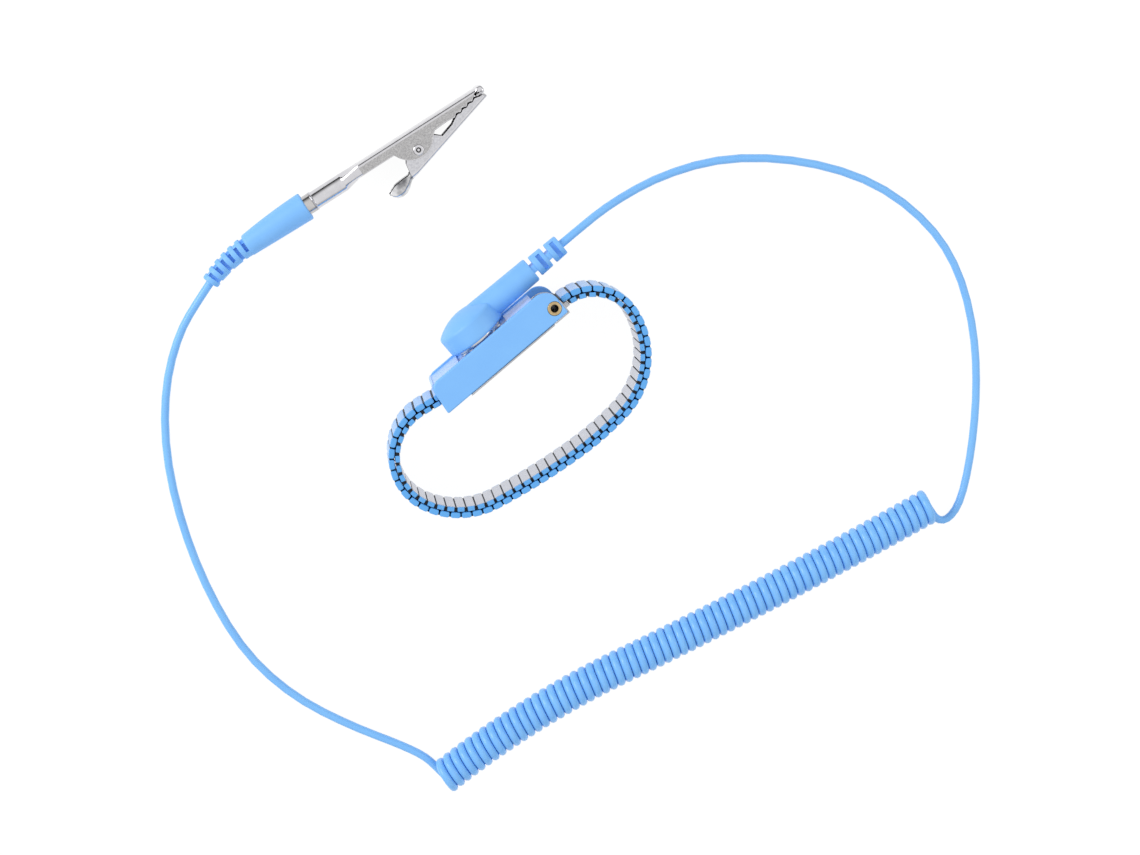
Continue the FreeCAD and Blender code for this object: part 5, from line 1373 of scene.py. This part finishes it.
@dataclass
class Connector:
    """Moulded snap connector with its socket, ring spring, resistor and wire.

    The barrel and the relief are each given as the start, the radius there, the end and the radius
    there. A block's end is a list of steps from its face and of what the radius gains there.
    """

    middle: float = 8.2
    foot: float = 9.1
    seat: Pair = (6.43, 12.0)
    radius: float = 8.2
    crown: float = 13.8
    crown_centre: float = 3.1
    rim: float = 1.1
    foot_round: float = 0.8
    axis: float = 13.1
    barrel: tuple[float, float, float, float] = (3.0, 3.65, 21.3, 3.35)
    barrel_round: float = 0.5
    relief: tuple[float, float, float, float] = (20.4, 3.0, 31.0, 2.75)
    gaps: tuple[Pair, ...] = ((21.3, 22.35), (26.2, 27.3))
    slots: tuple[Pair, ...] = ((24.0, 25.1), (28.65, 29.75))
    web: float = 0.95
    slot_half: float = 2.2
    slot_floor: float = 1.3
    slot_flank: float = 0.04
    slot_edge: float = 0.06
    gap_depth: float = -0.3
    gap_edge: float = 0.005
    block_end: tuple[Pair, ...] = (
        (0.0, -0.3), (0.04, -0.17), (0.12, -0.06), (0.28, 0.0))

    def button(self) -> Surface:
        """Domed button: a profile of the seat, the foot's round, the wall, the rim and the dome.

        The rim's circle touches the wall and the dome's sphere from inside, so its centre lies the
        rim's radius within both.
        """
        across = self.radius - self.rim
        rise = math.sqrt((self.crown - self.rim) ** 2 - across ** 2)
        slope = math.degrees(math.atan2(across, rise))
        ease = self.foot_round
        foot = arc((self.radius - ease, self.foot + ease), ease, -90, 0, 6)
        rim = arc((across, self.crown_centre + rise), self.rim, 0, 90 - slope, 7)
        dome = arc((0, self.crown_centre), self.crown, 90 - slope, 90, 14)[1:]
        seat, roof = self.seat
        profile = np.concatenate([[(0, roof), (seat, roof), (seat, self.foot)], foot, rim, dome])
        return turned_ring(profile, Axis.Y, (0, 0, self.middle), sides=96)

    def tube(self) -> Surface:
        """Barrel: a slight cone about the cord's axis whose end is rounded."""
        start, front, end, rear = self.barrel
        ease = self.barrel_round
        curve = arc((rear - ease, end - ease), ease, 0, 90, 6)
        profile = np.concatenate([
            [(0, start), (front, start)], curve, [(rear - 2 * ease, end), (0, end)]])
        return turned_ring(profile, Axis.X, (0, self.axis, self.middle), sides=72)

    def strain_relief(self) -> Surface:
        """Slotted strain relief as a grid along and round the cord.

        The radius changes evenly along the cord and eases at each block's ends. In a gap the points
        come in to the web's half thickness, and in a slot to the slot's floor. A station is its
        place along the cord, the radius's easing there, and whether it lies in a gap and in a slot.
        """
        start, front, end, rear = self.relief
        edges = [start] + [edge for gap in self.gaps for edge in gap] + [end]
        stations: list[tuple[float, float, bool, bool]] = []
        for number, (low, high) in enumerate(zip(edges[::2], edges[1::2])):
            stations += [(low + step, ease, False, False) for step, ease in self.block_end]
            for slot_low, slot_high in self.slots:
                if low < slot_low < high:
                    stations += [(slot_low - self.slot_flank, 0.0, False, False),
                                 (slot_low, 0.0, False, True), (slot_high, 0.0, False, True),
                                 (slot_high + self.slot_flank, 0.0, False, False)]
            stations += [(high - step, ease, False, False) for step, ease in self.block_end[::-1]]
            if number < len(self.gaps):
                gap_end = self.gaps[number][1]
                stations += [(high + self.gap_edge, self.gap_depth, True, False),
                             (gap_end - self.gap_edge, self.gap_depth, True, False)]
        x, ease, in_gap, in_slot = (np.array(column) for column in zip(*stations))
        radius = front + (rear - front) * (x - start) / (end - start) + ease
        marks = np.array([
            self.slot_half - self.slot_edge, self.slot_half + self.slot_edge, self.web])
        quarter = np.concatenate([np.radians(np.linspace(0, 90, 10)), np.arccos(marks / rear)])
        quarter = np.unique(np.round(quarter, 5))[:-1]
        angle = np.sort(np.concatenate([
            quarter, quarter + math.pi, math.pi - quarter[1:], 2 * math.pi - quarter[1:],
            [math.pi / 2, 1.5 * math.pi]]))
        y = radius[:, None] * np.cos(angle)
        z = radius[:, None] * np.sin(angle)
        y = np.where(in_gap[:, None], np.clip(y, -self.web, self.web), y)
        sunk = in_slot[:, None] & (np.abs(y) < self.slot_half)
        z = np.where(sunk, np.clip(z, -self.slot_floor, self.slot_floor), z)
        x = np.broadcast_to(x[:, None], y.shape)
        return lattice(np.stack([x, self.axis + y, self.middle + z], axis=-1))

    def build(self) -> list[bpy.types.Object]:
        """Make the moulding and give the CAD nodes inside it their finishes."""
        wear("snap_socket", NICKEL)
        wear("snap_spring", SPRING_WIRE)
        wear("resistor", BandedLacquer())
        wear("wire_crimp", TINNED)
        surfaces = Place().put([self.button(), self.tube(), self.strain_relief()])
        return [new_piece("snap_cover", surfaces, [SOFT_PVC], "connector", "connector_moulding")]


@dataclass
class PlugSleeve:
    """Sleeve over the banana plug: a convex grip and a ribbed, bent strain relief.

    The radii and the sag are the factors of their quadratics. The notches are those towards the
    left and the right side, for a slot that opens to one side and for one that opens to the other.
    """

    place: Place
    front: float = -1.95
    length: float = 17.8
    radii: Triple = (3.7, -0.27, -0.58)
    sag: Pair = (0.05, -0.5)
    front_round: float = 0.4
    rear_round: float = 0.3
    tail_start: Pair = (-19.75, -0.45)
    tail_heading: float = 181.4
    tail_length: float = 13.2
    tail_turn: float = 21.6
    tail_radii: Pair = (2.72, 2.2)
    slots: int = 6
    slot_width: float = 0.9
    slot_spare: float = 0.08
    first_slot: float = 0.25
    slot_floor: float = 0.85
    slot_ends: Pair = (1.1, -1.4)
    notches: tuple[Pair, ...] = ((0.45, -0.04), (0.42, 0.32))
    lobe_round: float = 0.26
    tip_round: float = 0.35
    rib_place: float = -1.2
    rib_half: float = 0.14
    rib_top: float = 1.55
    slot_wall: float = 0.01
    least_notch: float = 0.04
    before: float = 0.5

    def tail_line(self, distance: np.ndarray) -> tuple[np.ndarray, np.ndarray, np.ndarray]:
        """Points, directions and directions to the left along the strain relief's middle."""
        arcs = [(self.tail_length, self.tail_turn)]
        return along_arcs(self.tail_start, self.tail_heading, arcs, distance)

    def tip(self) -> tuple[np.ndarray, np.ndarray]:
        """Middle of the strain relief's tip, and the direction in which the cord leaves it."""
        base, along, _ = self.tail_line(np.array([self.tail_length]))
        return self.place.turned(base[0]) + self.place.origin, self.place.turned(along[0])

    def grip(self) -> Surface:
        """Convex grip whose radius and middle are quadratics of the way along it."""
        steps = 5
        ease = np.radians(np.linspace(0, 90, steps))
        near = self.front_round * (1 - np.cos(ease)) / self.length
        far = 1 - self.rear_round * (1 - np.cos(ease[::-1])) / self.length
        way = np.concatenate([near, np.linspace(0.05, 0.95, 15), far])[:, None]
        start, slope, curve = self.radii
        radius = start + slope * way + curve * way ** 2
        radius[:steps, 0] -= self.front_round * (1 - np.sin(ease))
        radius[-steps:, 0] -= self.rear_round * (1 - np.sin(ease[::-1]))
        angle = full_turn(64)
        y = self.sag[0] * way + self.sag[1] * way ** 2 + radius * np.cos(angle)
        x = np.broadcast_to(self.front - self.length * way, y.shape)
        return lattice(np.stack([x, y, radius * np.sin(angle)], axis=-1))

    def tail(self) -> Surface:
        """Ribbed strain relief as a grid along and round the cord.

        The slots open to one side and to the other by turns. In a slot the points come in to its
        floor, but for a thin rib. A lobe between two slots is rounded at both ends by a quarter
        circle, down to a notch that grows with the square of the cosine towards the slot's side.
        """
        pitch = self.tail_length / (self.slots + self.slot_spare)
        centres = pitch * (np.arange(self.slots) + self.first_slot)
        half, ease = self.slot_width / 2, self.lobe_round
        turn = np.radians([0, 20, 45, 70, 90])
        edge, drop = ease * (1 - np.cos(turn)), 1 - np.sin(turn)
        places, share, slot = [], [], []
        begins = np.concatenate([[-self.before], centres + half])
        ends = np.concatenate([centres - half, [self.tail_length]])
        in_slot = np.array([self.slot_wall, self.slot_width - self.slot_wall])
        for number, (low, high) in enumerate(zip(begins, ends)):
            places += [low + edge, high - edge[::-1], high + in_slot]
            share += [drop if number else 0 * drop, drop[::-1], np.ones(2)]
            slot += [np.full(len(edge), number - 1), np.full(len(edge) + 2, number)]
        s, share, slot = (np.concatenate(part)[:-2] for part in (places, share, slot))
        inside = np.tile(np.arange(2 * len(edge) + 2) >= 2 * len(edge), self.slots + 1)[:-2, None]
        share, slot = share[:, None], slot[:, None]
        way = np.clip(s / self.tail_length, 0, 1)[:, None]
        base, _, aside = self.tail_line(s)
        angle = full_turn(96)
        left, right = np.array(self.notches)[slot % 2].transpose(2, 0, 1)
        notch = self.least_notch + np.where(np.cos(angle) < 0, left, right) * np.cos(angle) ** 2
        notch = np.where(slot == self.slots, self.tip_round, notch)
        front, rear = self.tail_radii
        radius = front + (rear - front) * way - share * notch
        y, z = radius * np.cos(angle), radius * np.sin(angle)
        first, second = self.slot_ends
        sunk = inside & np.where(slot % 2 == 0, y < first, y > second)
        ribbed = (slot % 2 == 0) & (np.abs(y - self.rib_place) < self.rib_half)
        floor = np.where(ribbed, self.rib_top, self.slot_floor)
        z = np.where(sunk, np.clip(z, -floor, floor), z)
        rings = base[:, None] + y[..., None] * aside[:, None] + z[..., None] * np.array([0, 0, 1.0])
        return lattice(rings)

    def build(self) -> list[bpy.types.Object]:
        """Make the sleeve as one piece."""
        surfaces = self.place.put([self.grip(), self.tail()])
        return [new_piece("plug_grip", surfaces, [SOFT_PVC], "connector", "plug_sleeve")]


@dataclass
class AlligatorClip:
    """Alligator clip folded from two sheets on a rivet, and the plug that holds it.

    The rivet is given by the radii of its shank and its heads, a head's height and the dimple's
    radius, and the collar by its height and its length. The belly is the arc of the upper jaw's
    edge round the pivot, the crest the arc of the lower jaw's, and both have their middles, like
    the lever and the teeth their places, counted from the pivot.
    """

    place: Place
    middle: float = 4.25
    rise: float = 0.7
    width: float = 8.0
    sheet: float = 0.5
    back: float = 2.95
    bend: float = 1.2
    tip: float = 51.2
    barrel: float = 2.35
    wall: float = 0.37
    barrel_length: float = 9.2
    collar: Pair = (0.25, 0.5)
    neck_end: float = 14.3
    neck_foot: float = -0.4
    neck_laps: Pair = (0.3, 0.25)
    neck_power: int = 6
    pivot: Pair = (29.3, -2.4)
    belly: float = 6.0
    belly_middle: Pair = (-0.1, 4.0)
    belly_span: Pair = (213.5, 317.0)
    crest: float = 3.65
    crest_middle: Pair = (-0.15, -1.05)
    crest_span: Pair = (155.0, 62.0)
    lever_start: float = 4.9
    lever_end: float = 12.05
    nose_ease: float = 0.55
    teeth: int = 4
    teeth_start: float = 12.0
    upper_depth: float = 0.62
    lower_depth: float = 0.3
    tooth_power: float = 0.8
    lower_gap: float = 0.1
    rivet: tuple[float, float, float, float] = (0.8, 1.35, 0.25, 0.55)

    def toothed(self, start: Pair, end: Pair, depth: float, steps: int = 6) -> np.ndarray:
        """Wavy edge from start to end: the line plus the depth times a rounded saw tooth.

        The tooth's height is a power of half of one minus the cosine of an angle, which goes round
        once for each tooth.
        """
        way = np.linspace(0, 1, self.teeth * steps + 1)[:, None]
        wave = (0.5 - 0.5 * np.cos(2 * math.pi * self.teeth * way)) ** self.tooth_power
        return np.array(start) + way * (np.array(end) - np.array(start)) + depth * wave * [0, 1.0]

    def upper(self) -> bpy.types.Object:
        """Rolled barrel, folded neck, toothed channel and rounded nose of the upper jaw."""
        (px, py), back, tip = self.pivot, self.back, self.tip
        curve = arc(np.add(self.pivot, self.belly_middle), self.belly, *self.belly_span, 22)
        edge = np.concatenate([
            [(self.neck_end, self.neck_foot), (px - 5.95, self.neck_foot)], curve,
            [(px + 5.0, py + 0.9), (px + 6.1, py + 1.9), (px + 10.0, py + 2.1)],
            self.toothed((px + self.teeth_start, -0.5), (tip - 2.2, 0.9), self.upper_depth),
            [(tip - 1.5, 1.0)]])
        least_step = 1e-6
        onward = np.diff(np.maximum.accumulate(edge[:, 0])) > least_step
        x, foot = edge[np.concatenate([[True], onward])].T
        half = self.width / 2
        channel = folded(x, back, foot, self.middle, half, self.sheet, self.bend,
                         np.zeros(len(x), bool))
        nose = rounded(np.array([
            (tip - 3.2, 1.3), (tip - 1.9, 0.85), (tip - 0.3, 0.9), (tip, 1.75),
            (tip - 0.2, back), (tip - 1.7, back), (tip - 3.2, back - 1.5)]),
            np.array([0.1, 0.1, 0.3, 0.5, 0.8, 0.5, 0.1]), 6)
        nose = bar(nose, self.middle - half, self.middle + half, self.nose_ease, Plate.BENT)
        surfaces = self.place.put([channel, nose, self.neck(), self.tube()])
        # The third finish is painted shade inside the folded sheet
        return new_piece("upper_jaw", surfaces, [TUMBLED, BRIGHT_PLATE, SHADE_PAINTED_INSIDE], "clip",
                         "clip_upper_jaw")

    def neck(self) -> Surface:
        """Hollow loft from the round barrel to the channel's section.

        The barrel's end is a circle. The channel's is a superellipse, whose radius is one over the
        root of the summed powers of cosine and sine over its half axes. A section between them
        mixes the two by a share that eases in and out close to both creases.
        """
        angle, power = full_turn(64), self.neck_power
        cosine, sine = np.cos(angle), np.sin(angle)
        start, end = self.barrel_length - self.neck_laps[0], self.neck_end + self.neck_laps[1]

        def section(way: float, mix: float, thin: float) -> np.ndarray:
            """Ring at a share of the way, for a share of the channel's form, thinner by a sheet."""
            tall, wide = (self.back - self.neck_foot) / 2 - thin, self.width / 2 - thin
            powers = (np.abs(cosine) / tall) ** power + (np.abs(sine) / wide) ** power
            reach, bore = powers ** (-1 / power), self.barrel - thin
            middle = (self.back + self.neck_foot) / 2
            y = (1 - mix) * (self.rise + bore * cosine) + mix * (middle + reach * cosine)
            z = (1 - mix) * bore * sine + mix * reach * sine
            x = np.full(len(angle), start + way * (end - start))
            return np.column_stack([x, y, self.middle + z])

        shares = ((0.0, 0.0), (0.03, 0.01), (0.06, 0.045), (0.35, 0.35), (0.65, 0.65),
                  (0.94, 0.955), (0.97, 0.99), (1.0, 1.0))
        rings = [section(way, mix, 0.0) for way, mix in shares]
        rings += [section(1.0, 1.0, self.sheet), section(0.0, 0.0, self.wall)]
        return lattice(np.array(rings), Plate.BENT, endless=True)

    def tube(self) -> Surface:
        """Barrel with two fine rolled beads on its collar."""
        radius, bore = self.barrel, self.barrel - self.wall
        high, long = self.collar
        top = radius + high
        profile = np.array([
            (bore, 0.12), (bore + 0.1, 0.05), (top - 0.1, 0.05), (top - 0.02, 0.09), (top, 0.15),
            (top - 0.06, 0.22), (top - 0.12, 0.26), (top - 0.06, 0.3), (top, 0.37), (top, 0.45),
            (top - 0.06, long + 0.02), (radius + 0.04, long + 0.05), (radius, long + 0.12),
            (radius, self.barrel_length - 0.05), (radius - 0.05, self.barrel_length),
            (bore, self.barrel_length)])
        base = (0, self.rise, self.middle)
        return turned_ring(profile, Axis.X, base, 64, Plate.BENT, endless=True)

    def lower(self) -> bpy.types.Object:
        """Toothed channel that opens, with the dished thumb lever behind the pivot."""
        (px, py), tip = self.pivot, self.tip
        left = px - self.lever_end
        low = np.array([
            (left, py - 5.85), (px - 11.6, py - 6.9), (px - 10.8, py - 7.7),
            (px - 9.6, py - 8.1), (px - 8.2, py - 7.9), (px - 6.8, py - 7.1), (px - 5.3, py - 5.8),
            (tip - 0.3, -0.6)])
        crest = arc(np.add(self.pivot, self.crest_middle), self.crest, *self.crest_span, 9)
        high = np.concatenate([
            [(left, py - 5.68), (px - 11.2, py - 5.1), (px - 9.8, py - 4.55),
             (px - 7.3, py - 4.2), (px - 5.6, py - 4.15), (px - 4.85, py - 3.7),
             (px - 4.5, py - 1.5)], crest[1:],
            [(px + 2.6, py + 2.2), (px + 5.5, py + 0.9), (px + 6.9, py - 0.3),
             (px + 10.6, py + 0.8)],
            self.toothed((px + self.teeth_start, -0.68), (tip - 2.25, 0.72), self.lower_depth),
            [(tip - 2.1, 0.6), (tip - 0.9, 0.6), (tip - 0.3, 0.2)]])
        x = np.unique(np.concatenate([low[:, 0], high[:, 0], left + np.linspace(0, 7, 15)]))
        x = x[(x >= low[0, 0]) & (x <= low[-1, 0])]
        bend = np.interp(x, [px - 12, px - 10, px - 7, px - 5, px - 3.5], [0.8, 1.8, 2.0, 1.6, 1.0])
        half = self.width / 2 - self.sheet - self.lower_gap
        back, foot = (np.interp(x, edge[:, 0], edge[:, 1]) for edge in (low, high))
        channel = folded(x, back, foot, self.middle, half, self.sheet, bend,
                         x < px - self.lever_start)
        # The third finish is painted shade inside the sheet; the fourth paints reflections on the
        # lever
        return new_piece("lower_jaw", self.place.put([channel]),
                         [PALER_PLATE, BRIGHT_PLATE, SHADE_PAINTED_INSIDE, REFLECTION_PAINTED_LEVER], "jaw", "clip_lower_jaw")

    def hinge(self) -> bpy.types.Object:
        """Rivet whose two heads have a rolled edge, and a dimple with a ring in it painted dark as
        shade.
        """
        shank, head, tall, dimple = self.rivet
        half = np.array([
            (0, 0.16), (0.3, 0.2), (0.36, 0.28), (dimple + 0.02, 0.1), (dimple + 0.12, 0.0),
            (dimple + 0.3, 0.0), (head - 0.2, 0.0), (head - 0.05, 0.08), (head, 0.16), (head, tall),
            (shank, tall)])
        profile, sides = both_ends(half, self.width + 2 * tall), 40
        middle = (profile[1:, 0] + profile[:-1, 0]) / 2
        # The ring in the dimple takes the second finish, a painted shade
        dark = np.where((middle > 0.3) & (middle < dimple + 0.1), 1, 0)
        finish = np.repeat(dark[:, None], sides, 1)
        surface = turned_ring(profile, Axis.Z, (*self.pivot, 0), sides, finish)
        return new_piece("pivot_rivet", self.place.put([surface]), [BRIGHT_PLATE, SHADE_PAINTED_INSIDE],
                         "clip", "clip_rivet")

    def build(self) -> list[bpy.types.Object]:
        """Make the clip's pieces, and give the plug and the spring their finishes."""
        wear("banana_plug", PLUG_NICKEL)
        wear("plug_spring_cage", LEAVES)
        wear("plug_conductor", INNER_WIRE)
        wear("clip_spring", SPRING_WIRE)
        return [self.upper(), self.lower(), self.hinge()]


def wear(node: str, finish: Finish | BandedLacquer) -> None:
    """Give a CAD node that stays in view its finish.

    Args:
        node: the CAD node.
        finish: its finish.
    """
    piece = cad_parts[node]
    piece.data.materials.clear()
    piece.data.materials.append(finish.material())


def main() -> None:
    """Build the studio, the cord and the sub-assemblies, and report each piece."""
    logging.basicConfig(level=logging.INFO, format="%(message)s")
    Studio().build()
    clip = AlligatorClip(Place((-9.76, 60.7, 0.0), -7.8))
    plug_axis = clip.place.turned(np.array([0, clip.rise, clip.middle])) + clip.place.origin
    sleeve = PlugSleeve(Place(tuple(plug_axis), clip.place.turn))
    grip = sleeve.build()
    jaws = clip.build()
    made = [Cord().build(*sleeve.tip(), with_pieces=["banana_plug", "plug_grip"])] + grip + jaws
    for assembly in (ExpansionBand(), Buckle(), Connector()):
        made += assembly.build()
    for piece in made:
        log.info("piece %s", piece.name)


if __name__ == "__main__":
    main()
